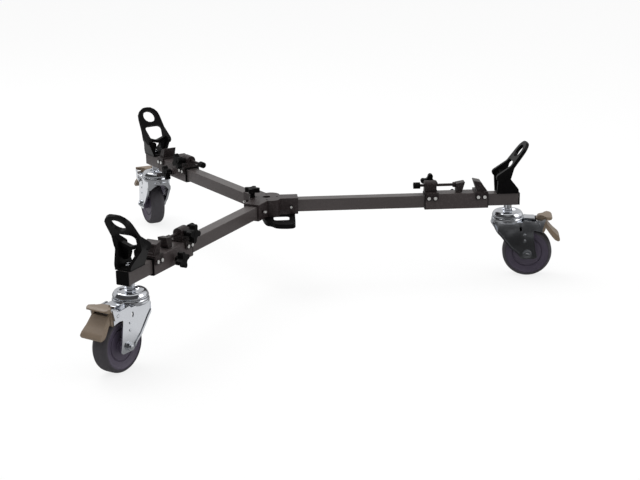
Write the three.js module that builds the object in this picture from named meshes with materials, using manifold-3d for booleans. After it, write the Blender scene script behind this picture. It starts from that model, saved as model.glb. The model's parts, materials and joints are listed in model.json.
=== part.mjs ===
// Three-arm dolly that carries a camera tripod on three braked casters.
// Square tubes leave a cast hub at 120 degrees. Each tube has a sliding foot clamp,
// a leaning foot cradle and a swivel caster with a pedal brake.
import * as THREE from 'three';
import { mergeVertices } from 'three/addons/utils/BufferGeometryUtils.js';
import Module from 'manifold-3d';

const wasm = await Module();
wasm.setup();

// Clearances, and how far a cutting tool runs past what it cuts
const seatGap = 0.3;
const slideGap = 0.3;
const swivelGap = 0.5;
const brakeGap = 0.8;
const overrun = 2;

// Arm tubes, heights measured from the floor
const armAngles = { right: 0, rear: 120, front: 240 };
const tube = { side: 25, wall: 2, corner: 1.6, bottom: 148.5, reach: 512 };
const tubeMiddle = tube.bottom + tube.side / 2;
const tubeTop = tube.bottom + tube.side;
const swivelInset = 22;
const swivelReach = tube.reach - swivelInset;

// Turns and places of each arm's moving pieces as photographed, carriages measured back from the caster
const carriageInsets = { right: 170.5, rear: 175, front: 179.5 };
const rodShares = { right: 0, rear: 0.97633, front: 0.17751 };
const lockTurns = { right: 12, rear: 30, front: -12 };
const sleeveKnobTurns = { right: 10, rear: 30, front: 15 };
const hubKnobTurn = -18;
const casterHeadings = { right: -9.7, rear: -9.6, front: -6.2 };

// Facets of round forms
const wheelSteps = 24;
const raceSteps = 20;
const lobeSteps = 14;
const boltSteps = 8;
const cornerSteps = 2;
const arcSteps = 2;
const bendSteps = 4;

const hub = {
  bossRadius: 18, bossPlace: 17.5, socketReach: 62.5, socketWall: 4, roof: 4.5, floor: 4, corner: 2,
  boreRadius: 8, boreDepth: 14, screwCircle: 21, screwRadius: 2.2, screwDepth: 3, tubeStart: 24,
};
const armBolt = { place: 48.5, shankRadius: 3, headRadius: 4.4, headHeight: 2.6 };
const hubKnob = {
  place: 28, tipRadius: 15.5, lobeRadius: 4.2, thickness: 9, neckRadius: 5.5, neckHeight: 10.5,
  screwRadius: 3, screwLength: 15,
};
const pull = {
  left: -11, right: 57, root: 12, reach: 89.6, thickness: 9, corner: 12,
  slotMiddle: 28.5, slotWidth: 32, slotStart: 1, slotEnd: 56, slotCorner: 8,
  screwMiddle: 26, screwPlace: 12, screwSpacing: 49, screwRadius: 4, screwHeight: 2,
};
const pullShares = [
  [0, 1, 0.5], [0.02, 0.7, 0], [0.06, 0.46, 0], [0.13, 0.25, 1], [0.28, 0.2, 0.7], [0.4, 0.04, 1],
  [0.8, 0, 1], [0.96, 0.06, 1], [1, 1, 0.5],
];

const endCap = { flange: 2.5, plugLength: 12 };

// Carriage pieces, lengths measured from the sleeve's inner end
const sleeve = { side: 32, wall: 1.9, corner: 2, length: 126 };
const liner = { wall: 1, rim: 1.2, slit: 4 };
const weldNut = { radius: 7, height: 3.5, drop: 3.5, place: 60 };
const sleeveKnob = {
  tipRadius: 16, lobeRadius: 4.4, thickness: 11, neckRadius: 5.5, neckHeight: 6.5, screwRadius: 3,
};
const saddle = { roof: 3, cheek: 2.5, lobeRadius: 6.5, screwDrop: 7.9, screwRadius: 3.6, screwHeight: 1.6 };
const clampBlock = { overhang: 1, length: 24, halfWidth: 10 };
const rod = { radius: 2.9, height: 18.5 };
const rodKnob = { radius: 6.7, rib: 0.6, ribs: 12, length: 13.6, place: 22.9 };
// Sliding jaw, its places measured back from the sleeve's outer end
const slidingJaw = {
  collarInset: 69.2, collarLength: 7.5, collarRadius: 5.5, width: 18,
  heel: 63.5, toe: 51.5, foot: 4, tip: 45.5, tipHeight: 25.5, corner: 1.5,
};
const rodLock = {
  place: 12.5, tipRadius: 17.5, lobeRadius: 5, thickness: 10, neckRadius: 6.5, neckHeight: 11.7,
  screwRadius: 2.5,
};
// Fixed jaw, its faces measured back from the sleeve's outer end
const fixedJaw = {
  width: 28, height: 28.5, innerTop: 28.5, outerTop: 12.5, innerFoot: 21.5, corner: 2,
  footStep: 1.5, pocket: 2.5, pocketRim: 3, pocketFoot: 7,
};

// Foot cradle, reach from the caster's axis towards the arm's end and height above the tube
const cradle = {
  baseWidth: 32, kneeWidth: 48, topWidth: 52, thickness: 7, floor: 3.2, cheek: 6.5, corner: 3,
  railReach: -22, railHeight: 36, railEnd: 7.5, bendReach: 3, bendHeight: 57.5,
  tipReach: 36.5, tipHeight: 102.5,
  heelReach: -25.5, waistReach: -0.7, waistHeight: 32.5, toeReach: 18.5, toeHeight: 9,
  eyeRadius: 14.5, eyeInset: 24, windowWidth: 34, windowStart: 48, windowCorner: 8,
  crossReach: -12, crossLength: 10, crossThickness: 6.6, crossHeight: 29, crossRise: 9,
};

// Caster, reach measured from the swivel axis
const stem = {
  boltRadius: 5, hexAcross: 17, hexBottom: 130.8, hexTop: 140, neckRadius: 8, nutAcross: 15, nutHeight: 5,
  pinRadius: 6, rivetRadius: 10, rivetHeight: 3,
};
const head = {
  radius: 31.5, shoulderRadius: 30, lipRadius: 27.7, rimRadius: 24.5, dishRadius: 17,
  bottom: 123.6, bulge: 126, shoulder: 130.3, lip: 133.4, rimTop: 135, dishFloor: 130.3,
};
const race = { radius: 32.3, top: 122.8, bulge: 119.2, bottom: 115.5, wall: 3, hole: 6.6 };
const wheel = {
  radius: 50, width: 32, tread: 6.5, shoulder: 5, trail: 41, hubRadius: 13, bore: 4.4,
  faceInset: 1.2, dish: 3.5, grooveRadius: 29, grooveWidth: 2.4, grooveDepth: 1.4,
};
const fork = {
  innerWidth: 46, plate: 3, earReach: 12.6, earRise: 13.4, legBottom: 39.5, corner: 4,
  lip: 1.6, lipWidth: 2.6, lipEnd: 26,
  deckReach: 46, bridgeStart: 32, bridgeEnd: 55.5, bridgeTop: 122.7, bridgeWidth: 26, bridgeWall: 3,
};
const legShares = [
  [-0.02, 0.9, 0], [-0.02, 0.842, 0], [0.038, 0.779, 0], [0.095, 0.66, 0], [0.18, 0.543, 0],
  [0.27, 0.398, 0], [0.36, 0.259, 0], [0.503, 0.124, 1.5], [0.558, 0, 0.8],
  [0.824, 0, 0.8], [0.859, 0.057, 0], [0.824, 0.22, 0], [0.77, 0.704, 0.6], [0.895, 0.721, 0],
  [0.952, 0.761, 0], [1, 1, 0.4], [0.853, 0.914, 0], [0.609, 0.947, 0], [0.573, 0.9, 0],
];
const axle = { radius: 4, headAcross: 13, headHeight: 5 };
// Brake pedal: its pivot's place, then its sizes measured from the pivot
const pedal = {
  pivotReach: 64, pivotHeight: 111, pinRadius: 3,
  start: -11, upperReach: 26, reach: 43, bottom: -37, top: 16.5, corner: 3, treadCorner: 10,
  coreWidth: 44.4, upperWidth: 54, lowerWidth: 50, rootWidth: 38, flareHeight: 6,
  slotWidth: 30, slotStart: 4, slotBottom: 1.5, slotTop: 7, travel: 12, earSweep: 19,
};
const coreShares = [
  [0.083, 0.897, 0], [0.083, 0.636, 0], [0.019, 0.486, 0], [0.111, 0.43, 0], [0.37, 0.355, 1],
  [0.444, 0.505, 1], [0.426, 0.785, 1], [0.352, 0.897, 0],
];
const upperShares = [
  [0.13, 0.879, 0], [0.13, 0.981, 1], [0.24, 1, 0], [0.574, 1, 1], [0.685, 0.953, 0.8], [0.685, 0.907, 0.8],
  [0.574, 0.873, 1], [0.352, 0.869, 0],
];
const lowerShares = [
  [0.352, 0.888, 0], [0.5, 0.701, 1], [0.722, 0.439, 1], [0.92, 0.26, 0.7], [1, 0.12, 0.9],
  [0.94, 0.03, 0.7], [0.8, 0.1, 1], [0.63, 0.3, 1], [0.444, 0.551, 0], [0.315, 0.71, 0],
];

// Solids and placing
const acrossArm = new THREE.Matrix4().makeRotationX(Math.PI / 2);
const alongArm = new THREE.Matrix4().makeBasis(
  new THREE.Vector3(0, 1, 0), new THREE.Vector3(0, 0, 1), new THREE.Vector3(1, 0, 0));

function at(x, y, z) {
  return new THREE.Matrix4().makeTranslation(x, y, z);
}

function solid(geometry, placing = new THREE.Matrix4()) {
  const bare = geometry.clone().applyMatrix4(placing);
  bare.deleteAttribute('normal');
  bare.deleteAttribute('uv');
  const merged = mergeVertices(bare, seatGap / 1000);
  return new wasm.Manifold(new wasm.Mesh({
    numProp: 3,
    vertProperties: new Float32Array(merged.attributes.position.array),
    triVerts: new Uint32Array(merged.index.array),
  }));
}

function union(...solids) {
  return solids.reduce((whole, next) => whole.add(next));
}

function cut(whole, ...tools) {
  return tools.reduce((rest, tool) => rest.subtract(tool), whole);
}

function turned(whole, matrix) {
  return whole.transform(matrix.elements);
}

function geometryOf(whole) {
  const mesh = whole.getMesh();
  const geometry = new THREE.BufferGeometry();
  geometry.setAttribute('position', new THREE.BufferAttribute(mesh.vertProperties, 3));
  geometry.setIndex(new THREE.BufferAttribute(mesh.triVerts, 1));
  geometry.computeVertexNormals();
  return geometry;
}

// Outline through points given as [x, y, corner radius]
function outline(points) {
  const shape = new THREE.Shape();
  const count = points.length;
  const corners = points.map(([x, y, radius = 0], index) => {
    const here = new THREE.Vector2(x, y);
    const before = new THREE.Vector2(...points[(index + count - 1) % count]);
    const after = new THREE.Vector2(...points[(index + 1) % count]);
    const inward = before.sub(here);
    const onward = after.sub(here);
    inward.setLength(Math.min(radius, inward.length() / 2));
    onward.setLength(Math.min(radius, onward.length() / 2));
    return { here, radius, start: here.clone().add(inward), end: here.clone().add(onward) };
  });
  shape.moveTo(corners[0].end.x, corners[0].end.y);
  for (const { here, radius, start, end } of [...corners.slice(1), corners[0]]) {
    shape.lineTo(start.x, start.y);
    if (radius > 0) shape.quadraticCurveTo(here.x, here.y, end.x, end.y);
  }
  return shape;
}

// Outline from a table of shares of the box from (left, bottom) to (right, top)
function traced(shares, [left, bottom], [right, top], corner) {
  return outline(shares.map(([across, up, round]) => (
    [left + across * (right - left), bottom + up * (top - bottom), round * corner])));
}

function rectangle(width, height, corner = 0) {
  const [x, y] = [width / 2, height / 2];
  return outline([[-x, -y, corner], [x, -y, corner], [x, y, corner], [-x, y, corner]]);
}

function regular(radius, sides) {
  const corners = Array.from({ length: sides }, (_, index) => {
    const angle = (index * 2 * Math.PI) / sides;
    return [radius * Math.cos(angle), radius * Math.sin(angle)];
  });
  return outline(corners);
}

function hexagon(across) {
  return regular(across / Math.sqrt(3), 6);
}

function extrude(shape, depth, steps = cornerSteps) {
  return new THREE.ExtrudeGeometry(shape, { depth, curveSegments: steps, bevelEnabled: false });
}

// A plan outline raised from one height to another
function raised(shape, bottom, top, steps = cornerSteps) {
  return solid(extrude(shape, top - bottom, steps), at(0, 0, bottom));
}

// A side outline in reach and height, given thickness across the arm
function sidePlate(shape, from, to, steps = cornerSteps) {
  return solid(extrude(shape, to - from, steps), at(0, to, 0).multiply(acrossArm));
}

// The same side outline on both sides of the arm
function sidePair(shape, inner, outer, steps = cornerSteps) {
  return union(sidePlate(shape, inner, outer, steps), sidePlate(shape, -outer, -inner, steps));
}

// A cross-section in width and height, run along the arm
function run(shape, from, to, steps = cornerSteps) {
  return solid(extrude(shape, to - from, steps), at(from, 0, 0).multiply(alongArm));
}

function roundBar(radius, height, from, to, steps = boltSteps) {
  return run(regular(radius, steps), from, to).translate([0, 0, height]);
}

function crossPin(radius, reach, height, from, to, steps = boltSteps) {
  return sidePlate(regular(radius, steps), from, to).translate([reach, 0, height]);
}

function uprightPin(radius, x, y, bottom, top, steps = boltSteps) {
  return raised(regular(radius, steps), bottom, top).translate([x, y, 0]);
}

function lathe(points, steps, placing = new THREE.Matrix4()) {
  const geometry = new THREE.LatheGeometry(points.map(([x, y]) => new THREE.Vector2(x, y)), steps);
  geometry.rotateX(Math.PI / 2);
  return solid(geometry, placing);
}

// Star outline with round lobe tips and drawn-in valleys
function starOutline({ tipRadius, lobeRadius, neckRadius }, lobes = 4) {
  const shape = new THREE.Shape();
  const pitch = (2 * Math.PI) / lobes;
  const centreRadius = tipRadius - lobeRadius;
  for (let lobe = 0; lobe < lobes; lobe += 1) {
    const angle = lobe * pitch + Math.PI / 2;
    const next = angle + pitch;
    const valley = angle + pitch / 2;
    const entry = next - Math.PI / 2;
    shape.absarc(centreRadius * Math.cos(angle), centreRadius * Math.sin(angle), lobeRadius,
      angle - Math.PI / 2, angle + Math.PI / 2);
    shape.quadraticCurveTo(
      neckRadius * Math.cos(valley), neckRadius * Math.sin(valley),
      centreRadius * Math.cos(next) + lobeRadius * Math.cos(entry),
      centreRadius * Math.sin(next) + lobeRadius * Math.sin(entry));
  }
  return shape;
}

// Star knob standing up from its seat at the origin, with its screw going down
function starKnob(sizes, screwLength) {
  const { neckHeight, thickness, neckRadius, screwRadius } = sizes;
  const star = raised(starOutline(sizes), neckHeight, neckHeight + thickness, arcSteps);
  const neck = uprightPin(neckRadius, 0, 0, 0, neckHeight + thickness / 2);
  const screw = uprightPin(screwRadius, 0, 0, -screwLength, neckHeight);
  return union(star, neck, screw);
}

// Turns a knob's upward axis to the arm's left side, after its own turn
function leftward(degrees) {
  return new THREE.Matrix4().makeRotationX(-Math.PI / 2)
    .multiply(new THREE.Matrix4().makeRotationZ(THREE.MathUtils.degToRad(degrees)));
}

function armTurn(name) {
  return new THREE.Matrix4().makeRotationZ(THREE.MathUtils.degToRad(armAngles[name]));
}

// Hub
const hubTop = tubeTop + hub.roof;
const hubBottom = tube.bottom - hub.floor;
const socketBore = tube.side + 2 * seatGap;
const socketWidth = socketBore + 2 * hub.socketWall;

function hubBody() {
  const socket = run(rectangle(socketWidth, hubTop - hubBottom, hub.corner), 0, hub.socketReach)
    .translate([0, 0, (hubTop + hubBottom) / 2]);
  const boss = uprightPin(hub.bossRadius, hub.bossPlace * Math.cos(Math.PI / 3),
    hub.bossPlace * Math.sin(Math.PI / 3), hubBottom, hubTop, raceSteps);
  const bore = run(rectangle(socketBore, socketBore, tube.corner), hub.tubeStart - seatGap,
    hub.socketReach + overrun).translate([0, 0, tubeMiddle]);
  const boltHole = crossPin(armBolt.shankRadius + seatGap, armBolt.place, tubeMiddle, -socketWidth,
    socketWidth);
  const names = Object.keys(armAngles);
  const solids = names.flatMap((name) => [turned(socket, armTurn(name)), turned(boss, armTurn(name))]);
  const tools = names.flatMap((name) => [turned(bore, armTurn(name)), turned(boltHole, armTurn(name))]);
  const middleBore = uprightPin(hub.boreRadius, 0, 0, hubTop - hub.boreDepth, hubTop + overrun, lobeSteps);
  const screwHoles = [0, 1, 2, 3].map((quarter) => uprightPin(
    hub.screwRadius, hub.screwCircle * Math.cos(quarter * Math.PI / 2),
    hub.screwCircle * Math.sin(quarter * Math.PI / 2), hubTop - hub.screwDepth, hubTop + overrun));
  const knobHole = uprightPin(hubKnob.screwRadius + seatGap, -hubKnob.place, 0,
    hubTop - hubKnob.screwLength - seatGap, hubTop + overrun);
  return cut(union(...solids), ...tools, middleBore, ...screwHoles, knobHole);
}

// Round-headed bolt through the socket's walls and the tube
function armBoltSolid() {
  const side = socketWidth / 2 + seatGap;
  const { place, shankRadius, headRadius, headHeight } = armBolt;
  const shank = crossPin(shankRadius, place, tubeMiddle, -side - headHeight / 2, side + headHeight / 2);
  const heads = [[side, side + headHeight], [-side - headHeight, -side]]
    .map(([from, to]) => crossPin(headRadius, place, tubeMiddle, from, to));
  return union(shank, ...heads);
}

// Flat pull under the hub, reaching out along negative Y, with a slot for the fingers
function pullHandle() {
  const top = hubBottom - seatGap;
  const bottom = top - pull.thickness;
  const [slotLeft, slotRight] = [pull.slotMiddle - pull.slotWidth / 2, pull.slotMiddle + pull.slotWidth / 2];
  const plan = traced(pullShares, [pull.left, -pull.reach], [pull.right, pull.root], pull.corner);
  const slot = outline([
    [slotLeft, -pull.slotStart, pull.slotCorner], [slotLeft, -pull.slotEnd, pull.slotCorner],
    [slotRight, -pull.slotEnd, pull.slotCorner], [slotRight, -pull.slotStart, pull.slotCorner]]);
  plan.holes.push(slot);
  const screws = [-1, 1].map((side) => uprightPin(
    pull.screwRadius, pull.screwMiddle + side * pull.screwSpacing / 2, -pull.screwPlace,
    bottom - pull.screwHeight, bottom + pull.screwHeight));
  return union(raised(plan, bottom, top, bendSteps), ...screws);
}

// Arm tube, drilled for its hub bolt and for the caster's bolt
const tubeEnd = tube.reach - endCap.flange - seatGap;

function armTube() {
  const section = rectangle(tube.side, tube.side, tube.corner);
  section.holes.push(rectangle(tube.side - 2 * tube.wall, tube.side - 2 * tube.wall));
  const walls = run(section, hub.tubeStart, tubeEnd).translate([0, 0, tubeMiddle]);
  const boltHole = crossPin(armBolt.shankRadius + seatGap, armBolt.place, tubeMiddle, -tube.side, tube.side);
  const stemHole = uprightPin(stem.boltRadius + seatGap, swivelReach, 0, tube.bottom - overrun,
    tubeTop + overrun);
  return cut(walls, boltHole, stemHole);
}

function endCapSolid() {
  const plugSide = tube.side - 2 * tube.wall - 2 * seatGap;
  const flange = run(rectangle(tube.side, tube.side, tube.corner), tube.reach - endCap.flange, tube.reach);
  const plug = run(rectangle(plugSide, plugSide), tubeEnd - endCap.plugLength,
    tube.reach - endCap.flange / 2);
  return union(flange, plug).translate([0, 0, tubeMiddle]);
}

// Carriage
const linerInner = tube.side + 2 * slideGap;
const linerOuter = linerInner + 2 * liner.wall;
const sleeveInner = sleeve.side - 2 * sleeve.wall;
const sleeveTop = tubeMiddle + sleeve.side / 2;
const sleeveKnobHeight = tubeMiddle - weldNut.drop;
const weldNutFace = sleeve.side / 2 + weldNut.height;

function carriageSleeve() {
  const section = rectangle(sleeve.side, sleeve.side, sleeve.corner);
  section.holes.push(rectangle(sleeveInner, sleeveInner));
  const walls = run(section, 0, sleeve.length).translate([0, 0, tubeMiddle]);
  const nut = crossPin(weldNut.radius, weldNut.place, sleeveKnobHeight, sleeve.side / 2 - sleeve.wall / 2,
    weldNutFace);
  const hole = crossPin(sleeveKnob.screwRadius + seatGap, weldNut.place, sleeveKnobHeight, 0,
    weldNutFace + overrun);
  return cut(union(walls, nut), hole);
}

// Slit bush whose rims stand out at both ends of the sleeve
function carriageLiner() {
  const [start, end] = [-seatGap - liner.rim, sleeve.length + seatGap + liner.rim];
  const bush = run(rectangle(linerOuter, linerOuter), start, end);
  const rim = run(rectangle(sleeve.side, sleeve.side, sleeve.corner), start, start + liner.rim);
  const farRim = rim.translate([end - start - liner.rim, 0, 0]);
  const bore = run(rectangle(linerInner, linerInner), start - overrun, end + overrun);
  const slit = run(rectangle(liner.slit, sleeve.side), start - overrun, end + overrun)
    .translate([0, 0, -(linerInner + sleeve.side) / 2]);
  const hole = crossPin(sleeveKnob.screwRadius + seatGap, weldNut.place, -weldNut.drop, 0, sleeve.side);
  return cut(union(bush, rim, farRim), bore, slit, hole).translate([0, 0, tubeMiddle]);
}

function sleeveKnobSolid(name) {
  const seat = weldNutFace + seatGap;
  const screwLength = seat - tube.side / 2 - seatGap;
  return turned(starKnob(sleeveKnob, screwLength),
    at(weldNut.place, seat, sleeveKnobHeight).multiply(leftward(sleeveKnobTurns[name])));
}

// Saddle over the sleeve: a roof and two cheeks, each with two screws in round lobes
const saddleSeat = sleeveTop + seatGap;
const saddleInner = sleeve.side / 2 + seatGap;
const saddleOuter = saddleInner + saddle.cheek;
const saddleRoof = saddleSeat + saddle.roof;
const saddleLength = 4 * saddle.lobeRadius;
const saddleScrewHeight = sleeveTop - saddle.screwDrop;

function saddleSolid(start) {
  const { lobeRadius, screwRadius, screwHeight, roof } = saddle;
  const middle = start + saddleLength / 2;
  const cheeks = sidePair(outline([
    [start, saddleRoof], [start, saddleScrewHeight], [start + saddleLength, saddleScrewHeight],
    [start + saddleLength, saddleRoof]]), saddleInner, saddleOuter);
  const plate = run(rectangle(2 * saddleOuter, roof), start, start + saddleLength)
    .translate([0, 0, saddleSeat + roof / 2]);
  const screws = [middle - lobeRadius, middle + lobeRadius].flatMap((reach) => [
    sidePair(regular(lobeRadius, lobeSteps), saddleInner, saddleOuter)
      .translate([reach, 0, saddleScrewHeight]),
    sidePair(regular(screwRadius, boltSteps), saddleOuter - saddle.cheek / 2, saddleOuter + screwHeight)
      .translate([reach, 0, saddleScrewHeight])]);
  return union(plate, cheeks, ...screws);
}

const rodHeight = tubeTop + rod.height;
const blockStart = -clampBlock.overhang;
const blockEnd = blockStart + clampBlock.length;

function clampBlockSolid() {
  const { halfWidth } = clampBlock;
  const arch = new THREE.Shape();
  arch.moveTo(-halfWidth, saddleSeat);
  arch.lineTo(halfWidth, saddleSeat);
  arch.absarc(0, rodHeight, halfWidth, 0, Math.PI);
  const block = run(arch, blockStart, blockEnd, bendSteps);
  const bore = roundBar(rod.radius + slideGap, rodHeight, blockStart - overrun, blockEnd + overrun);
  const lockHole = crossPin(rodLock.screwRadius + seatGap, rodLock.place, rodHeight, 0,
    halfWidth + overrun);
  return cut(union(saddleSolid(0), block), bore, lockHole);
}

// Rod with its collar and its boot-shaped jaw, drawn back by a share of the way to the clamp block
const rodTravel = sleeve.length - slidingJaw.collarInset - blockEnd;
const rodKnobInner = -rodKnob.place + rodKnob.length;

function slidingJawSolid() {
  const { collarLength, collarRadius, width, foot, tipHeight, corner } = slidingJaw;
  const [collarPlace, heel, toe, tip] = [
    slidingJaw.collarInset, slidingJaw.heel, slidingJaw.toe, slidingJaw.tip,
  ].map((inset) => sleeve.length - inset);
  const shank = roundBar(rod.radius, rodHeight, rodKnobInner - rodKnob.length / 2,
    collarPlace + collarLength);
  const collar = roundBar(collarRadius, rodHeight, collarPlace, collarPlace + collarLength);
  const boot = sidePlate(outline([
    [heel, rodHeight + collarRadius - corner], [heel, tubeTop + foot, corner], [toe, tubeTop + foot, corner],
    [tip, tubeTop + tipHeight - corner, corner], [tip, tubeTop + tipHeight, corner]]),
  -width / 2, width / 2);
  return union(shank, collar, boot);
}

function rodKnobSolid() {
  const knurl = new THREE.Shape();
  const points = 2 * rodKnob.ribs;
  for (let point = 0; point < points; point += 1) {
    const angle = (point * 2 * Math.PI) / points;
    const radius = rodKnob.radius - (point % 2) * rodKnob.rib;
    if (point === 0) knurl.moveTo(radius, 0);
    else knurl.lineTo(radius * Math.cos(angle), radius * Math.sin(angle));
  }
  const grip = run(knurl, -rodKnob.place, rodKnobInner).translate([0, 0, rodHeight]);
  const socket = roundBar(rod.radius + seatGap, rodHeight, rodKnobInner - rodKnob.length / 2 - seatGap,
    rodKnobInner + overrun);
  return cut(grip, socket);
}

function rodLockSolid(name) {
  const seat = clampBlock.halfWidth + seatGap;
  const screwLength = seat - rod.radius - seatGap;
  return turned(starKnob(rodLock, screwLength),
    at(rodLock.place, seat, rodHeight).multiply(leftward(lockTurns[name])));
}

// Leaning slab with a framed pocket in its outer face
function fixedJawSolid() {
  const { width, height, footStep, corner, pocket, pocketRim, pocketFoot } = fixedJaw;
  const top = tubeTop + height;
  const outerFoot = sleeve.length;
  const [innerTop, outerTop, innerFoot] = [fixedJaw.innerTop, fixedJaw.outerTop, fixedJaw.innerFoot]
    .map((inset) => outerFoot - inset);
  const lean = (outerFoot - outerTop) / (top - saddleSeat);
  const faceAt = (level) => outerFoot - lean * (level - saddleSeat);
  const [low, high] = [saddleSeat + pocketFoot, top - pocketRim];
  const slab = sidePlate(outline([
    [innerFoot, saddleSeat], [outerFoot, saddleSeat], [outerTop, top, corner], [innerTop, top, corner],
    [innerFoot, saddleRoof + footStep]]), -width / 2, width / 2);
  const recess = sidePlate(outline([
    [faceAt(low) - pocket, low], [outerFoot + overrun, low], [outerFoot + overrun, high],
    [faceAt(high) - pocket, high]]), -width / 2 + pocketRim, width / 2 - pocketRim);
  return union(saddleSolid(sleeve.length - saddleLength), cut(slab, recess));
}

// Foot cradle: a bent loop plate on two cheeks, with a cross bar and a floor under the caster's nut,
// in the caster's place on the arm
function cradleSolid() {
  const c = cradle;
  const seat = tubeTop + seatGap;
  const floorTop = seat + c.floor;
  const [rail, bend, tip] = [
    [c.railReach, c.railHeight], [c.bendReach, c.bendHeight], [c.tipReach, c.tipHeight],
  ].map(([reach, height]) => new THREE.Vector2(reach, tubeTop + height));
  const upper = tip.clone().sub(bend).normalize();
  const lower = bend.clone().sub(rail).normalize();
  const fold = upper.clone().add(lower).normalize();
  const beside = (point, direction, distance) => [
    point.x - direction.y * distance, point.y + direction.x * distance];
  const half = c.thickness / 2;
  const plate = sidePlate(outline([
    beside(rail, lower, -c.railEnd), [...beside(bend, fold, -half), c.corner],
    [...beside(tip, upper, -half), c.corner], [...beside(tip, upper, half), c.corner],
    [...beside(bend, fold, half), c.corner], beside(rail, lower, c.railEnd)]), -c.topWidth, c.topWidth);
  const railEnds = sidePlate(regular(c.railEnd, lobeSteps), -c.kneeWidth / 2, c.kneeWidth / 2)
    .translate([rail.x, 0, rail.y]);

  // Tools square to the upper part of the plate, measured back from its tip
  const facing = at(tip.x, 0, tip.y)
    .multiply(new THREE.Matrix4().makeRotationY(-upper.angle()))
    .multiply(at(0, 0, -2 * c.topWidth));
  const square = (shape) => solid(extrude(shape, 4 * c.topWidth, bendSteps), facing);
  const [end, knee] = [-tip.distanceTo(rail) - 2 * c.railEnd, -tip.distanceTo(bend)];
  const front = new THREE.Shape();
  front.absarc(-c.topWidth / 2, 0, c.topWidth / 2, -Math.PI / 2, Math.PI / 2);
  front.lineTo(knee, c.kneeWidth / 2);
  front.lineTo(end, c.kneeWidth / 2);
  front.lineTo(end, -c.kneeWidth / 2);
  front.lineTo(knee, -c.kneeWidth / 2);
  const eye = square(regular(c.eyeRadius, lobeSteps))
    .translate([-c.eyeInset * upper.x, 0, -c.eyeInset * upper.y]);
  const opening = c.windowWidth / 2;
  const window = square(outline([
    [end - overrun, -opening], [-c.windowStart, -opening, c.windowCorner],
    [-c.windowStart, opening, c.windowCorner], [end - overrun, opening]]));
  const loopPlate = cut(union(plate, railEnds).intersect(square(front)), eye, window);

  // Cheeks, splayed from the base's width to the knee's width
  const cheekSide = outline([
    [c.heelReach, seat], [c.toeReach, seat], [c.toeReach, tubeTop + c.toeHeight, c.corner],
    [c.waistReach, tubeTop + c.waistHeight, c.corner], [bend.x + c.thickness / 2, bend.y],
    [bend.x, bend.y], [c.railReach, rail.y], [c.heelReach, rail.y]]);
  const splay = (inset) => {
    const [base, knees] = [c.baseWidth / 2 - inset, c.kneeWidth / 2 - inset];
    return run(outline([
      [-base, seat - overrun], [base, seat - overrun], [base, floorTop], [knees, rail.y],
      [knees, bend.y + c.thickness], [-knees, bend.y + c.thickness], [-knees, rail.y],
      [-base, floorTop]]), c.heelReach - overrun, c.toeReach + c.thickness);
  };
  const cheeks = cut(sidePlate(cheekSide, -c.topWidth, c.topWidth).intersect(splay(0)), splay(c.cheek));
  const floor = raised(rectangle(c.toeReach - c.heelReach, c.baseWidth), seat, floorTop)
    .translate([(c.toeReach + c.heelReach) / 2, 0, 0]);

  // Cross bar that dips in the middle
  const [low, wide] = [tubeTop + c.crossHeight, c.kneeWidth / 2 - c.cheek / 2];
  const high = low + c.crossRise;
  const crossBar = run(outline([
    [-wide, high], [0, low, c.corner], [wide, high], [wide, high + c.crossThickness],
    [0, low + c.crossThickness, c.corner], [-wide, high + c.crossThickness]]),
  c.crossReach - c.crossLength / 2, c.crossReach + c.crossLength / 2);
  const boltHole = uprightPin(stem.boltRadius + seatGap, 0, 0, tubeTop - overrun, floorTop + overrun);
  return cut(union(loopPlate, cheeks, floor, crossBar), boltHole);
}

// Caster
const deckBottom = race.bottom - race.wall;
const forkOuter = fork.innerWidth / 2 + fork.plate;

function casterStem() {
  const nutSeat = tubeTop + 2 * seatGap + cradle.floor;
  const neck = uprightPin(stem.neckRadius, 0, 0, stem.hexTop, tube.bottom - seatGap, lobeSteps);
  const hex = raised(hexagon(stem.hexAcross), stem.hexBottom, stem.hexTop);
  const nutTop = nutSeat + stem.nutHeight;
  const bolt = uprightPin(stem.boltRadius, 0, 0, stem.hexTop, nutTop + stem.boltRadius / 2);
  const nut = raised(hexagon(stem.nutAcross), nutSeat, nutTop);
  const rivetTop = deckBottom - swivelGap;
  const pin = uprightPin(stem.pinRadius, 0, 0, rivetTop - stem.rivetHeight / 2, stem.hexTop, lobeSteps);
  const rivet = uprightPin(stem.rivetRadius, 0, 0, rivetTop - stem.rivetHeight, rivetTop, lobeSteps);
  return union(hex, neck, bolt, nut, pin, rivet);
}

function casterHead() {
  const h = head;
  const hole = stem.pinRadius + seatGap;
  return lathe([
    [hole, h.bottom], [h.radius - seatGap, h.bottom], [h.radius, h.bulge], [h.shoulderRadius, h.shoulder],
    [h.lipRadius, h.lip], [h.rimRadius, h.rimTop], [h.dishRadius, h.dishFloor], [hole, h.dishFloor],
    [hole, h.bottom],
  ], raceSteps);
}

// The ears reach past the pedal's pivot and above it
const legReach = pedal.pivotReach + fork.earReach;
const earTop = pedal.pivotHeight + fork.earRise;

// Plan of the fork's walls: a round nose under the race, then straight sides
function forkPlan(inset, reach) {
  const radius = race.radius - inset;
  const side = forkOuter - inset;
  const turn = Math.asin(side / radius);
  const plan = new THREE.Shape();
  plan.absarc(0, 0, radius, Math.PI - turn, Math.PI + turn);
  plan.lineTo(reach, -side);
  plan.lineTo(reach, side);
  return plan;
}

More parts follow.
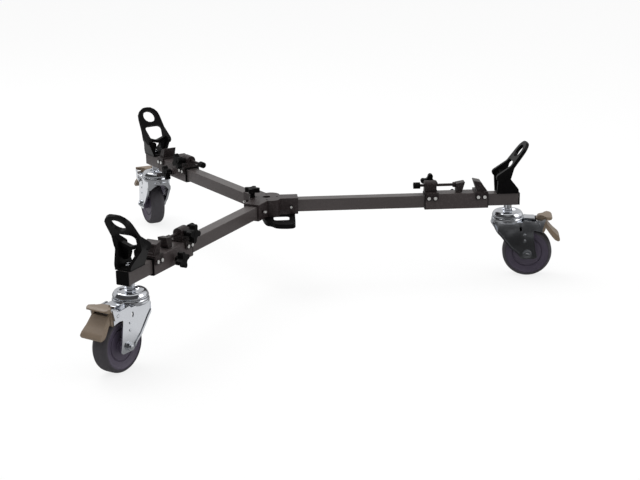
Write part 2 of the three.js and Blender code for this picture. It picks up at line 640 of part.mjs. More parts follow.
function casterFork() {
  const inside = race.radius - race.wall;
  const ring = lathe([
    [race.hole, deckBottom], [inside, deckBottom], [race.radius, race.bottom], [race.radius, race.bulge],
    [inside + race.wall / 2, race.top], [inside, race.top], [inside, race.bottom], [race.hole, race.bottom],
    [race.hole, deckBottom],
  ], raceSteps);
  const deck = cut(raised(rectangle(fork.deckReach, 2 * forkOuter), deckBottom, race.bottom)
    .translate([fork.deckReach / 2, 0, 0]), uprightPin(race.hole + seatGap, 0, 0, deckBottom - overrun,
    race.bottom + overrun, raceSteps));
  const beyond = legReach + overrun;
  const hollow = raised(forkPlan(fork.plate, beyond + overrun), fork.legBottom - overrun,
    earTop + overrun, bendSteps);
  const walls = cut(raised(forkPlan(0, beyond), fork.legBottom, earTop, bendSteps), hollow);
  const side = sidePlate(traced(legShares, [-race.radius, fork.legBottom], [legReach, earTop],
    fork.corner), -race.radius, race.radius);
  const clearance = uprightPin(inside, 0, 0, race.bottom, head.rimTop, raceSteps);
  const headRoom = uprightPin(head.radius + swivelGap, 0, 0, race.top, tube.bottom, raceSteps);
  const legs = cut(walls.intersect(side), clearance, headRoom);

  // Lip turned outwards along the front edge of both legs and round the nose
  const edge = cut(side, side.translate([fork.lipWidth, 0, fork.lipWidth]))
    .intersect(raised(rectangle(beyond + race.radius, beyond + race.radius), fork.legBottom, deckBottom)
      .translate([fork.lipEnd - (beyond + race.radius) / 2, 0, 0]));
  const lip = cut(raised(forkPlan(-fork.lip, beyond), fork.legBottom, deckBottom, bendSteps), hollow)
    .intersect(edge);
  const { bridgeStart, bridgeEnd, bridgeTop, bridgeWidth, bridgeWall } = fork;
  const bridge = cut(
    sidePlate(outline([
      [bridgeStart, deckBottom], [bridgeEnd, deckBottom], [bridgeEnd, bridgeTop, bridgeWall],
      [bridgeStart, bridgeTop, bridgeWall]]), -bridgeWidth / 2, bridgeWidth / 2),
    sidePlate(outline([
      [bridgeStart + bridgeWall, deckBottom - overrun], [bridgeEnd + overrun, deckBottom - overrun],
      [bridgeEnd + overrun, bridgeTop - bridgeWall], [bridgeStart + bridgeWall, bridgeTop - bridgeWall]]),
    -bridgeWidth / 2 + bridgeWall, bridgeWidth / 2 - bridgeWall));
  const axleHole = crossPin(axle.radius + seatGap, wheel.trail, wheel.radius, -forkOuter - overrun,
    forkOuter + overrun);
  const pivotHole = crossPin(pedal.pinRadius + swivelGap, pedal.pivotReach, pedal.pivotHeight,
    -forkOuter - overrun, forkOuter + overrun);
  return cut(union(ring, deck, legs, lip, bridge), axleHole, pivotHole);
}

function axleSolid() {
  const outer = forkOuter + seatGap;
  const shank = crossPin(axle.radius, wheel.trail, wheel.radius, -outer - seatGap, outer + seatGap);
  const heads = sidePair(hexagon(axle.headAcross), outer, outer + axle.headHeight)
    .translate([wheel.trail, 0, wheel.radius]);
  return union(shank, heads);
}

const coreRadius = wheel.radius - wheel.tread;
const onAxle = at(wheel.trail, 0, wheel.radius).multiply(acrossArm);

function wheelCore() {
  const hubFace = fork.innerWidth / 2 - swivelGap;
  const face = wheel.width / 2 - wheel.faceInset;
  const web = face - wheel.dish;
  const near = wheel.grooveRadius - wheel.grooveWidth / 2;
  const far = wheel.grooveRadius + wheel.grooveWidth / 2;
  const side = (sign) => [
    [wheel.bore, sign * hubFace], [wheel.hubRadius, sign * hubFace], [wheel.hubRadius, sign * web],
    [near, sign * web], [wheel.grooveRadius, sign * (web - wheel.grooveDepth)], [far, sign * web],
    [coreRadius - seatGap, sign * face]];
  return lathe([...side(-1), ...side(1).reverse(), side(-1)[0]], wheelSteps, onAxle);
}

function tyreSolid() {
  const half = wheel.width / 2;
  const flank = wheel.radius - wheel.shoulder;
  const slant = wheel.shoulder * (1 - Math.SQRT1_2);
  return lathe([
    [coreRadius, -half], [flank, -half], [wheel.radius - slant, -half + slant],
    [wheel.radius, -half + wheel.shoulder], [wheel.radius, half - wheel.shoulder],
    [wheel.radius - slant, half - slant], [flank, half], [coreRadius, half], [coreRadius, -half],
  ], wheelSteps, onAxle);
}

// Brake pedal: a core between the fork's ears, an upper tread, a flared lower tread and the shoe
function brakePedal() {
  const c = pedal;
  const [start, reach, upperReach, slotStart] = [c.start, c.reach, c.upperReach, c.slotStart]
    .map((place) => c.pivotReach + place);
  const [bottom, top, slotBottom, slotTop] = [c.bottom, c.top, c.slotBottom, c.slotTop]
    .map((place) => c.pivotHeight + place);
  const profile = (shares) => traced(shares, [start, bottom], [reach, top], c.corner);
  const core = sidePlate(profile(coreShares), -c.coreWidth / 2, c.coreWidth / 2);
  const upper = sidePlate(profile(upperShares), -c.upperWidth / 2, c.upperWidth / 2);
  const lower = sidePlate(profile(lowerShares), -c.lowerWidth / 2, c.lowerWidth / 2);
  const upperPlan = raised(outline([
    [start, -c.upperWidth / 2], [upperReach, -c.upperWidth / 2, c.treadCorner],
    [upperReach, c.upperWidth / 2, c.treadCorner], [start, c.upperWidth / 2]]),
  bottom, top + overrun);
  const [root, wide, flareLevel] = [c.rootWidth / 2, c.lowerWidth / 2, bottom + c.flareHeight];
  const flare = run(outline([
    [-root, top], [-root, c.pivotHeight], [-wide, flareLevel, c.corner], [-root, bottom - overrun],
    [root, bottom - overrun], [wide, flareLevel, c.corner], [root, c.pivotHeight], [root, top]]),
  start, reach);
  const pinEnd = forkOuter + seatGap;
  const pin = crossPin(c.pinRadius, c.pivotReach, c.pivotHeight, -pinEnd, pinEnd);
  const earSweep = sidePair(regular(c.earSweep, raceSteps), c.coreWidth / 2, c.upperWidth)
    .translate([c.pivotReach, 0, c.pivotHeight]);
  const treads = cut(union(upper.intersect(upperPlan), lower.intersect(flare)), earSweep);
  const slot = raised(rectangle(reach - slotStart, c.slotWidth), slotBottom, slotTop)
    .translate([(reach + slotStart) / 2, 0, 0]);

  // The shoe is cut to clear the tyre by the brake gap, at rest and trodden right down
  const tread = crossPin(wheel.radius + brakeGap, wheel.trail, wheel.radius, -c.upperWidth, c.upperWidth,
    2 * wheelSteps);
  const turnBack = at(c.pivotReach, 0, c.pivotHeight)
    .multiply(new THREE.Matrix4().makeRotationY(-THREE.MathUtils.degToRad(c.travel)))
    .multiply(at(-c.pivotReach, 0, -c.pivotHeight));
  return cut(union(core, treads, pin), slot, tread, turned(tread, turnBack));
}

// Finishes
const finish = (color, roughness, metalness) => () => (
  new THREE.MeshStandardMaterial({ color, roughness, metalness }));
const tubeFinish = finish(0x6a6361, 0.45, 0.6);
const sleeveFinish = finish(0x5c5553, 0.45, 0.6);
const castFinish = finish(0x2c2826, 0.5, 0.5);
const hubFinish = finish(0x4a4341, 0.45, 0.5);
const blackPlastic = finish(0x141313, 0.55, 0);
const zinc = finish(0xc9cbd0, 0.25, 0.9);
const treadFinish = finish(0x3a373d, 0.7, 0);
const coreFinish = finish(0x4a4152, 0.6, 0);
const pedalFinish = finish(0x8a7866, 0.6, 0);

function piece(name, whole, material) {
  const mesh = new THREE.Mesh(geometryOf(whole), material());
  mesh.name = name;
  return mesh;
}

// Shapes that every arm repeats
const common = {
  armTube: armTube(), endCap: endCapSolid(), armBolt: armBoltSolid(), cradle: cradleSolid(),
  sleeve: carriageSleeve(), liner: carriageLiner(), clampBlock: clampBlockSolid(), fixedJaw: fixedJawSolid(),
  slidingJaw: slidingJawSolid(), rodKnob: rodKnobSolid(), stem: casterStem(), head: casterHead(),
  fork: casterFork(), axle: axleSolid(), core: wheelCore(), tyre: tyreSolid(), pedal: brakePedal(),
};

function carriage(name) {
  const group = new THREE.Group();
  group.position.x = swivelReach - carriageInsets[name];
  group.add(
    piece(`${name}_carriage_sleeve`, common.sleeve, sleeveFinish),
    piece(`${name}_carriage_liner`, common.liner, blackPlastic),
    piece(`${name}_sleeve_knob`, sleeveKnobSolid(name), blackPlastic),
    piece(`${name}_clamp_block`, common.clampBlock, castFinish),
    piece(`${name}_fixed_jaw`, common.fixedJaw, castFinish),
    piece(`${name}_rod_lock_knob`, rodLockSolid(name), blackPlastic));
  const sliding = new THREE.Group();
  sliding.position.x = -rodTravel * rodShares[name];
  sliding.add(
    piece(`${name}_sliding_jaw`, common.slidingJaw, castFinish),
    piece(`${name}_rod_knob`, common.rodKnob, blackPlastic));
  group.add(sliding);
  return group;
}

function caster(name) {
  const group = new THREE.Group();
  group.position.x = swivelReach;
  const swivelling = new THREE.Group();
  swivelling.rotation.z = THREE.MathUtils.degToRad(casterHeadings[name]);
  swivelling.add(
    piece(`${name}_caster_fork`, common.fork, zinc),
    piece(`${name}_wheel_axle`, common.axle, zinc),
    piece(`${name}_wheel_core`, common.core, coreFinish),
    piece(`${name}_tyre`, common.tyre, treadFinish),
    piece(`${name}_brake_pedal`, common.pedal, pedalFinish));
  group.add(
    piece(`${name}_foot_cradle`, common.cradle, blackPlastic),
    piece(`${name}_caster_stem`, common.stem, zinc),
    piece(`${name}_caster_head`, common.head, zinc), swivelling);
  return group;
}

function arm(name) {
  const group = new THREE.Group();
  group.rotation.z = THREE.MathUtils.degToRad(armAngles[name]);
  group.add(
    piece(`${name}_arm_tube`, common.armTube, tubeFinish),
    piece(`${name}_end_cap`, common.endCap, blackPlastic),
    piece(`${name}_arm_bolt`, common.armBolt, zinc),
    carriage(name), caster(name));
  return group;
}

function hubGroup() {
  const group = new THREE.Group();
  const knob = piece('hub_knob', starKnob(hubKnob, hubKnob.screwLength), blackPlastic);
  knob.position.set(-hubKnob.place, 0, hubTop + seatGap);
  knob.rotation.z = THREE.MathUtils.degToRad(hubKnobTurn);
  const handle = piece('carry_handle', pullHandle(), blackPlastic);
  group.add(piece('hub_body', hubBody(), hubFinish), knob, handle);
  return group;
}

// The whole dolly, set down so that its origin is on the floor under the middle of its box
const dolly = new THREE.Group();
dolly.add(hubGroup(), ...Object.keys(armAngles).map(arm));
const extent = new THREE.Box3().setFromObject(dolly, true);
const middle = extent.getCenter(new THREE.Vector3());
dolly.position.set(-middle.x, -middle.y, -extent.min.z);
dolly.updateMatrixWorld(true);

export default dolly;
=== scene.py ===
"""Finished pieces, materials and stage for a three-arm tripod dolly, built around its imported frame."""

import json
import math

import bmesh
import bpy
from bpy.props import FloatProperty, FloatVectorProperty, IntProperty, PointerProperty
from mathutils import Color, Matrix, Vector


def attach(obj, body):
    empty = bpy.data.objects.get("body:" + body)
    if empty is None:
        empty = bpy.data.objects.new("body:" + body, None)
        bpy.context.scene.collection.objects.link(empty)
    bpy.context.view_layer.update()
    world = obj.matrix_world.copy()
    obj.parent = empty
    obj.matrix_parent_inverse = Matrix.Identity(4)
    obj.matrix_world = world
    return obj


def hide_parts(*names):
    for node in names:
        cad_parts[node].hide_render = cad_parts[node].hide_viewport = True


bl_info = {
    "name": "Tripod dolly",
    "version": (1, 0, 0),
    "blender": (4, 5, 0),
    "location": "View3D > Sidebar > Dolly",
    "description": "Dresses the packed frame of a three-arm tripod dolly with finished pieces",
    "category": "Add Mesh",
}

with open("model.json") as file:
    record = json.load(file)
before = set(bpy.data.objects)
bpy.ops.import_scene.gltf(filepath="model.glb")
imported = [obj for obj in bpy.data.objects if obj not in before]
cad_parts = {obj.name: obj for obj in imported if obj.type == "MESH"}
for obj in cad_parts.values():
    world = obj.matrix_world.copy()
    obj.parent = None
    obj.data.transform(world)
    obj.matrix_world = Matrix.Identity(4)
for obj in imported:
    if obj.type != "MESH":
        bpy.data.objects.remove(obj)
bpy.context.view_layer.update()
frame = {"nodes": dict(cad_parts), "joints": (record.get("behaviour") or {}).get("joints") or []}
JOINTS = {joint["name"]: joint for joint in frame["joints"]}

# Lengths are in millimetres where no comment says metres, and heights are measured from the floor
MM = 0.001
ARMS = ("right", "rear", "front")
SIDES = (-1, 1)
UP = Vector((0, 0, 1))
TUBE_TOP = 173.5
TUBE_MIDDLE = 161.0
ROD_HEIGHT = 192.0
SLEEVE_KNOB_PLACE = 60.0
LONGEST_ROD_PLACE = 7.8
WHEEL_TRAIL = 41.0
WHEEL_RADIUS = 50.0

# Points closer than this are one, in a turned shape and in a copied or cut one
TOUCHING = 0.001
SAME_PLACE = TOUCHING * MM

# Steps round small turned shapes, and segments across rounded edges
TURNED_STEPS = 40
HEAD_STEPS = 24
CAST_SEGMENTS = 3
MOULDED_SEGMENTS = 4
HEXAGON_SIDES = 6
FOUR_BY_FOUR = 4

# Angles in degrees above which an edge is shaded sharp
SHARP_ANGLE = 38
TURNED_SHARP_ANGLE = 50
RING_SHARP_ANGLE = 60

# Angle below which faces are one flat face, and angle at which an outer edge wears most, in degrees
FLAT_ANGLE = 1
FULL_WEAR_ANGLE = 36

# How far large faces outweigh small ones in the shading of rounded edges, from 1 to 100
NORMAL_WEIGHT = 90


# Places of the pieces, read from the frame's joints
def joint_place(name):
    return Vector(JOINTS[name]["pos_m"])


def on_floor(point):
    return Vector((point.x, point.y, 0))


def turned(degrees, axis):
    return Matrix.Rotation(math.radians(degrees), FOUR_BY_FOUR, axis)


def placing(origin, along):
    """Millimetre coordinates with X along the given direction and Z up, starting on the floor."""
    across = UP.cross(along)
    turn = Matrix((along, across, UP)).transposed().to_4x4()
    return Matrix.Translation(on_floor(origin)) @ turn @ Matrix.Scale(MM, FOUR_BY_FOUR)


HUB_AXIS = on_floor(sum((joint_place(f"{arm}_caster_swivel") for arm in ARMS), Vector()) / len(ARMS))
HUB_PLACE = placing(HUB_AXIS, Vector((1, 0, 0)))
CASTER_REACH = (on_floor(joint_place("right_caster_swivel")) - HUB_AXIS).length / MM


def arm_direction(arm):
    return (on_floor(joint_place(f"{arm}_caster_swivel")) - HUB_AXIS).normalized()


def arm_place(arm):
    return placing(HUB_AXIS, arm_direction(arm))


def carriage_place(arm):
    reach = (joint_place(f"{arm}_carriage_lock_turn") - HUB_AXIS).dot(arm_direction(arm)) / MM
    return arm_place(arm) @ Matrix.Translation((reach - SLEEVE_KNOB_PLACE, 0, 0))


def jaw_place(arm):
    rod_place = LONGEST_ROD_PLACE - JOINTS[f"{arm}_jaw_slide"]["range_m"][1] / MM
    return carriage_place(arm) @ Matrix.Translation((rod_place, 0, 0))


def caster_place(arm):
    swivel = on_floor(joint_place(f"{arm}_caster_swivel"))
    heading = on_floor(joint_place(f"{arm}_wheel_roll")) - swivel
    return placing(swivel, heading.normalized())


def leftward(x, y, z, turn):
    """A knob's own axis turned from upward to the arm's left side."""
    return Matrix.Translation((x, y, z)) @ turned(-90, "X") @ turned(turn, "Z")


# Lay a shape that was drawn upright across the arm, or along it
ACROSS = turned(90, "X")
ALONG = Matrix(((0, 0, 1, 0), (1, 0, 0, 0), (0, 1, 0, 0), (0, 0, 0, 1)))


# Outlines and solids
def rounded(points, steps=6):
    """Outline through points given as (x, y, corner), with each corner drawn as a curve."""
    result = []
    count = len(points)
    for index, point in enumerate(points):
        here = Vector(point[:2])
        corner = point[2] if len(point) > 2 else 0
        if corner == 0:
            result.append(tuple(here))
            continue
        before = Vector(points[index - 1][:2]) - here
        after = Vector(points[(index + 1) % count][:2]) - here
        start = here + before.normalized() * min(corner, before.length / 2)
        end = here + after.normalized() * min(corner, after.length / 2)
        for step in range(steps + 1):
            share = step / steps
            bent = start.lerp(here, share).lerp(here.lerp(end, share), share)
            result.append(tuple(bent))
    return result


def shares(table, low, high, corner):
    """Outline from shares of a box, as (across, up, share of the corner)."""
    return [
        (low[0] + across * (high[0] - low[0]), low[1] + up * (high[1] - low[1]), turn * corner)
        for across, up, turn in table
    ]


def circle(radius, steps):
    angles = [math.tau * step / steps for step in range(steps)]
    return [(radius * math.cos(angle), radius * math.sin(angle)) for angle in angles]


def hexagon(across):
    return circle(across / math.sqrt(3), HEXAGON_SIDES)


def star(tip, lobe, neck, lobes=4, steps=12):
    """Star outline with round lobes and drawn-in valleys."""
    points = []
    centre = tip - lobe
    pitch = math.tau / lobes
    for index in range(lobes):
        angle = index * pitch + math.pi / 2
        middle = Vector((centre * math.cos(angle), centre * math.sin(angle)))
        for step in range(steps + 1):
            around = angle - math.pi / 2 + math.pi * step / steps
            points.append((middle.x + lobe * math.cos(around), middle.y + lobe * math.sin(around)))
        following = angle + pitch
        valley = Vector((neck * math.cos(angle + pitch / 2), neck * math.sin(angle + pitch / 2)))
        entry = following - math.pi / 2
        start = Vector(points[-1])
        end = Vector((
            centre * math.cos(following) + lobe * math.cos(entry),
            centre * math.sin(following) + lobe * math.sin(entry),
        ))
        for step in range(1, steps):
            share = step / steps
            points.append(tuple(start.lerp(valley, share).lerp(valley.lerp(end, share), share)))
    return points


def meshed(shape, name="shape"):
    mesh = bpy.data.meshes.new(name)
    shape.to_mesh(mesh)
    shape.free()
    return mesh


def extruded(outlines, low, high):
    """Solid between two heights from one outline and the holes in it."""
    shape = bmesh.new()
    for level in (low, high):
        rims = []
        for points in outlines:
            ring = [shape.verts.new((x, y, level)) for x, y in points]
            rims += [shape.edges.new((ring[index - 1], ring[index])) for index in range(len(ring))]
        bmesh.ops.triangle_fill(shape, use_beauty=True, edges=rims)
    shape.verts.ensure_lookup_table()
    half = len(shape.verts) // 2
    start = 0
    for points in outlines:
        for index in range(len(points)):
            here = start + index
            there = start + (index + 1) % len(points)
            corners = (here, there, there + half, here + half)
            shape.faces.new([shape.verts[corner] for corner in corners])
        start += len(points)
    bmesh.ops.recalc_face_normals(shape, faces=shape.faces)
    return meshed(shape)


def spun(profile, steps):
    """Solid of revolution about Z from a closed profile of (radius, height)."""
    shape = bmesh.new()
    rings = []
    for step in range(steps):
        angle = math.tau * step / steps
        rings.append([shape.verts.new((r * math.cos(angle), r * math.sin(angle), z)) for r, z in profile])
    for step in range(steps):
        here, there = rings[step], rings[(step + 1) % steps]
        for index in range(len(profile)):
            if profile[index - 1][0] == 0 and profile[index][0] == 0:
                continue
            shape.faces.new((here[index - 1], here[index], there[index], there[index - 1]))
    bmesh.ops.remove_doubles(shape, verts=shape.verts, dist=TOUCHING)
    bmesh.ops.recalc_face_normals(shape, faces=shape.faces)
    return meshed(shape)


def changed(mesh, kind, settings):
    """The mesh with one modifier applied to it."""
    work = bpy.data.objects.new("work", mesh)
    bpy.context.scene.collection.objects.link(work)
    modifier = work.modifiers.new(kind, kind)
    for name, value in settings.items():
        setattr(modifier, name, value)
    graph = bpy.context.evaluated_depsgraph_get()
    result = bpy.data.meshes.new_from_object(work.evaluated_get(graph))
    bpy.data.objects.remove(work)
    bpy.data.meshes.remove(mesh)
    return result


def softened(mesh, rounding, segments=2, limit=32):
    """The mesh, which is in millimetres, with its sharp edges rounded by a length in metres."""
    return changed(mesh, "BEVEL", {
        "width": rounding / MM,
        "segments": segments,
        "limit_method": "ANGLE",
        "angle_limit": math.radians(limit),
        "miter_outer": "MITER_ARC",
    })


def cut(mesh, tool):
    """The mesh less a tool."""
    cutter = bpy.data.objects.new("cutter", tool)
    bpy.context.scene.collection.objects.link(cutter)
    mesh = changed(mesh, "BOOLEAN", {"operation": "DIFFERENCE", "object": cutter, "solver": "EXACT"})
    bpy.data.objects.remove(cutter)
    return mesh


def sliced(mesh, axis, place, side=0):
    """The mesh cut across an axis at a place, keeping one side of it or both, with the cut closed."""
    shape = bmesh.new()
    shape.from_mesh(mesh)
    direction = side or 1
    normal = Vector([direction if name == axis else 0 for name in "xyz"])
    found = bmesh.ops.bisect_plane(
        shape, geom=[*shape.verts, *shape.edges, *shape.faces], dist=SAME_PLACE,
        plane_co=normal * place * direction, plane_no=normal, clear_inner=bool(side),
    )
    if side:
        rim = [item for item in found["geom_cut"] if isinstance(item, bmesh.types.BMEdge)]
        bmesh.ops.triangle_fill(shape, use_beauty=True, use_dissolve=False, edges=rim)
    return meshed(shape)


def flattened(mesh):
    """The mesh with its doubles merged and its loose triangles merged into flat faces."""
    shape = bmesh.new()
    shape.from_mesh(mesh)
    bmesh.ops.remove_doubles(shape, verts=shape.verts, dist=SAME_PLACE)
    limit = math.radians(FLAT_ANGLE)
    bmesh.ops.dissolve_limit(shape, angle_limit=limit, verts=shape.verts, edges=shape.edges)
    return meshed(shape)


def reshaped(mesh, rule):
    """The mesh with each point moved by a rule on its coordinates."""
    for vert in mesh.vertices:
        vert.co = rule(*vert.co)
    return mesh


def between(value, table):
    """Value read off a table of (place, value) by straight lines."""
    for (low, first), (high, second) in zip(table, table[1:]):
        if value <= high:
            share = max(0.0, (value - low) / (high - low))
            return first + share * (second - first)
    return table[-1][1]


def joined(*meshes):
    """One mesh with each of these as a closed shell."""
    shape = bmesh.new()
    for mesh in meshes:
        shape.from_mesh(mesh)
        bpy.data.meshes.remove(mesh)
    return meshed(shape)


def put(mesh, matrix):
    mesh.transform(matrix)
    return mesh


def cad_triangles(node, place):
    """A frame node's mesh in the millimetres of a place, its doubles merged."""
    shape = bmesh.new()
    shape.from_mesh(frame["nodes"][node].data)
    bmesh.ops.remove_doubles(shape, verts=shape.verts, dist=SAME_PLACE)
    bmesh.ops.transform(shape, matrix=place.inverted(), verts=shape.verts)
    return meshed(shape)


def cad_copy(node, place):
    """A frame node's mesh in the millimetres of a place, in flat faces."""
    return flattened(cad_triangles(node, place))


def softened_copy(node, place, rounding, segments=2):
    """A frame node's mesh where it stands, with its sharp edges rounded."""
    return put(softened(cad_copy(node, place), rounding, segments), place)


def mark_edges(mesh):
    """Stores how strongly each point lies on an outer edge, for worn finishes."""
    shape = bmesh.new()
    shape.from_mesh(mesh)
    limit = math.radians(FULL_WEAR_ANGLE)
    values = []
    for vert in shape.verts:
        angles = [edge.calc_face_angle_signed(0) for edge in vert.link_edges]
        values.append(min(1.0, max(angles, default=0) / limit))
    shape.free()
    attribute = mesh.attributes.new("edge", "FLOAT", "POINT")
    attribute.data.foreach_set("value", values)


def finished(name, mesh, body, material, stands_for=(), sharp=SHARP_ANGLE):
    """Makes a piece of a mesh that is in place, and lets it ride on its body."""
    mark_edges(mesh)
    mesh.polygons.foreach_set("use_smooth", [True] * len(mesh.polygons))
    mesh.set_sharp_from_angle(angle=math.radians(sharp))
    mesh = changed(mesh, "WEIGHTED_NORMAL", {"keep_sharp": True, "weight": NORMAL_WEIGHT})
    mesh.name = name
    mesh.materials.clear()
    mesh.materials.append(material)
    piece = bpy.data.objects.new(name, mesh)
    bpy.context.scene.collection.objects.link(piece)
    if stands_for:
        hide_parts(*stands_for)
    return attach(piece, body)


# Nodes of materials
WHITE = (1, 1, 1, 1)
MIX_RESULT = 2

# Noise by its scale per metre and its detail, and the ranges of noise and of slope that show
GRAIN_DETAIL = 3.0
MOTTLE_DETAIL = 4.0
MOTTLE_ROUGHNESS = 0.6
WAVE_SCALE = 38.0
WEAR_SCALE, WEAR_DETAIL = 420.0, 5.0
WEAR_RANGE = (0.5, 0.72)
DUST_SCALE, DUST_DETAIL = 38.0, 6.0
DUST_RANGE = (0.5, 1.0)

# Height of the grain in millimetres, the smoothest a finish gets, and how a rubbed edge brightens
GRAIN_HEIGHT = 0.6
LEAST_ROUGHNESS = 0.03
RUBBED_GAIN = 2.2
RUBBED_LIFT = 0.02
RUBBED_PAINT = (0.46, 0.44, 0.43)


def linked(tree, kind, settings=None, **inputs):
    """Adds a node, sets its settings and fills its inputs with values or sockets."""
    node = tree.nodes.new(kind)
    for name, value in (settings or {}).items():
        setattr(node, name, value)
    for name, value in inputs.items():
        socket = node.inputs[int(name[1:])] if name.startswith("_") else node.inputs[name.replace("_", " ")]
        if isinstance(value, bpy.types.NodeSocket):
            tree.links.new(value, socket)
        else:
            socket.default_value = value
    return node


def math_node(tree, operation, *values):
    inputs = {f"_{index}": value for index, value in enumerate(values)}
    return linked(tree, "ShaderNodeMath", {"operation": operation}, **inputs).outputs[0]


def mixed(tree, share, first, second):
    """A colour between two. The Mix node keeps its colours behind its values and vectors."""
    node = linked(tree, "ShaderNodeMix", {"data_type": "RGBA"}, _0=share, _6=first, _7=second)
    return node.outputs[MIX_RESULT]


def ramp(tree, value, start, end, low=0.0, high=1.0, curve="LINEAR"):
    """A value brought from one range to another and held at its ends."""
    node = linked(
        tree, "ShaderNodeMapRange", {"interpolation_type": curve}, Value=value, From_Min=start, From_Max=end,
        To_Min=low, To_Max=high,
    )
    return node.outputs[0]


def noise(tree, scale, detail, **more):
    """Noise in the piece's own coordinates."""
    place = tree.nodes.new("ShaderNodeTexCoord").outputs["Object"]
    return linked(tree, "ShaderNodeTexNoise", Vector=place, Scale=scale, Detail=detail, **more).outputs[0]


def new_group(name, inputs, outputs):
    """A shader node group whose inputs and outputs are all plain values."""
    group = bpy.data.node_groups.new(name, "ShaderNodeTree")
    for label, default in inputs.items():
        socket = group.interface.new_socket(label, in_out="INPUT", socket_type="NodeSocketFloat")
        socket.default_value = default
    for label in outputs:
        group.interface.new_socket(label, in_out="OUTPUT", socket_type="NodeSocketFloat")
    return group, group.nodes.new("NodeGroupInput"), group.nodes.new("NodeGroupOutput")


def grain_group():
    """Fine grain, a broad mottle and slow waves, all in the piece's own coordinates."""
    group, entry, leave = new_group(
        "Fine grain", {"Scale": 900.0, "Mottle scale": 25.0}, ("Height", "Mottle", "Wave"),
    )
    fine = noise(group, entry.outputs["Scale"], GRAIN_DETAIL)
    broad = noise(group, entry.outputs["Mottle scale"], MOTTLE_DETAIL, Roughness=MOTTLE_ROUGHNESS)
    slow = noise(group, WAVE_SCALE, 0.0)
    for label, value in (("Height", fine), ("Mottle", broad), ("Wave", slow)):
        group.links.new(value, leave.inputs[label])


def wear_group():
    """Rubbed edges: the stored edge value broken up by noise."""
    group, entry, leave = new_group("Rubbed edges", {"Amount": 0.5}, ("Mask",))
    edge = linked(group, "ShaderNodeAttribute", {"attribute_name": "edge"}).outputs["Fac"]
    breaks = ramp(group, noise(group, WEAR_SCALE, WEAR_DETAIL), *WEAR_RANGE)
    rubbed = math_node(group, "MULTIPLY", edge, breaks)
    group.links.new(math_node(group, "MULTIPLY", rubbed, entry.outputs["Amount"]), leave.inputs["Mask"])


def dust_group():
    """Dust that settles on upward faces."""
    group, entry, leave = new_group("Settled dust", {"Amount": 0.2}, ("Mask",))
    normal = group.nodes.new("ShaderNodeNewGeometry").outputs["Normal"]
    upward = linked(group, "ShaderNodeSeparateXYZ", Vector=normal).outputs["Z"]
    lying = ramp(group, upward, *DUST_RANGE)
    amount = math_node(group, "MULTIPLY", lying, entry.outputs["Amount"])
    patches = noise(group, DUST_SCALE, DUST_DETAIL)
    group.links.new(math_node(group, "MULTIPLY", amount, patches), leave.inputs["Mask"])


def linear(colour):
    """A screen colour as a linear one."""
    return Color(colour).from_srgb_to_scene_linear()


def opaque(channels):
    return (*(min(1.0, channel) for channel in channels), 1.0)


def finish(name, colour, *, roughness, grain, depth, mottle, dust, metallic=0.0, specular=0.5, rub=0.0,
           rub_colour=None, wave=0.0, roughness_spread=0.12):
    """A finish with grain, mottle, rubbed edges, a little dust and the gentle waves of pressed sheet."""
    material = bpy.data.materials.new(name)
    material.use_nodes = True
    tree = material.node_tree
    shader = tree.nodes["Principled BSDF"]
    groups = bpy.data.node_groups
    texture = linked(tree, "ShaderNodeGroup", {"node_tree": groups["Fine grain"]}, Scale=grain)
    wear = linked(tree, "ShaderNodeGroup", {"node_tree": groups["Rubbed edges"]}, Amount=rub)
    settled = linked(tree, "ShaderNodeGroup", {"node_tree": groups["Settled dust"]}, Amount=dust)
    colour = linear(colour)
    darker = opaque(channel * (1 - mottle) for channel in colour)
    lighter = opaque(channel * (1 + mottle) for channel in colour)
    worn = linear(rub_colour) if rub_colour else [channel * RUBBED_GAIN + RUBBED_LIFT for channel in colour]
    dust_colour = opaque(linear(bpy.context.scene.dolly_colours.dust))
    cover = mixed(tree, texture.outputs["Mottle"], darker, lighter)
    cover = mixed(tree, wear.outputs["Mask"], cover, opaque(worn))
    cover = mixed(tree, settled.outputs["Mask"], cover, dust_colour)
    tree.links.new(cover, shader.inputs["Base Color"])
    smoothest = max(LEAST_ROUGHNESS, roughness - roughness_spread)
    roughest = min(1.0, roughness + roughness_spread)
    rough = ramp(tree, texture.outputs["Mottle"], 0.0, 1.0, smoothest, roughest)
    tree.links.new(rough, shader.inputs["Roughness"])
    shader.inputs["Metallic"].default_value = metallic
    shader.inputs["Specular IOR Level"].default_value = specular
    heights = texture.outputs["Height"]
    bump = linked(tree, "ShaderNodeBump", Strength=depth, Distance=GRAIN_HEIGHT * MM, Height=heights)
    if wave:
        waves = linked(tree, "ShaderNodeBump", Distance=wave * MM, Height=texture.outputs["Wave"])
        tree.links.new(waves.outputs[0], bump.inputs["Normal"])
    tree.links.new(bump.outputs[0], shader.inputs["Normal"])
    material.diffuse_color = opaque(colour)


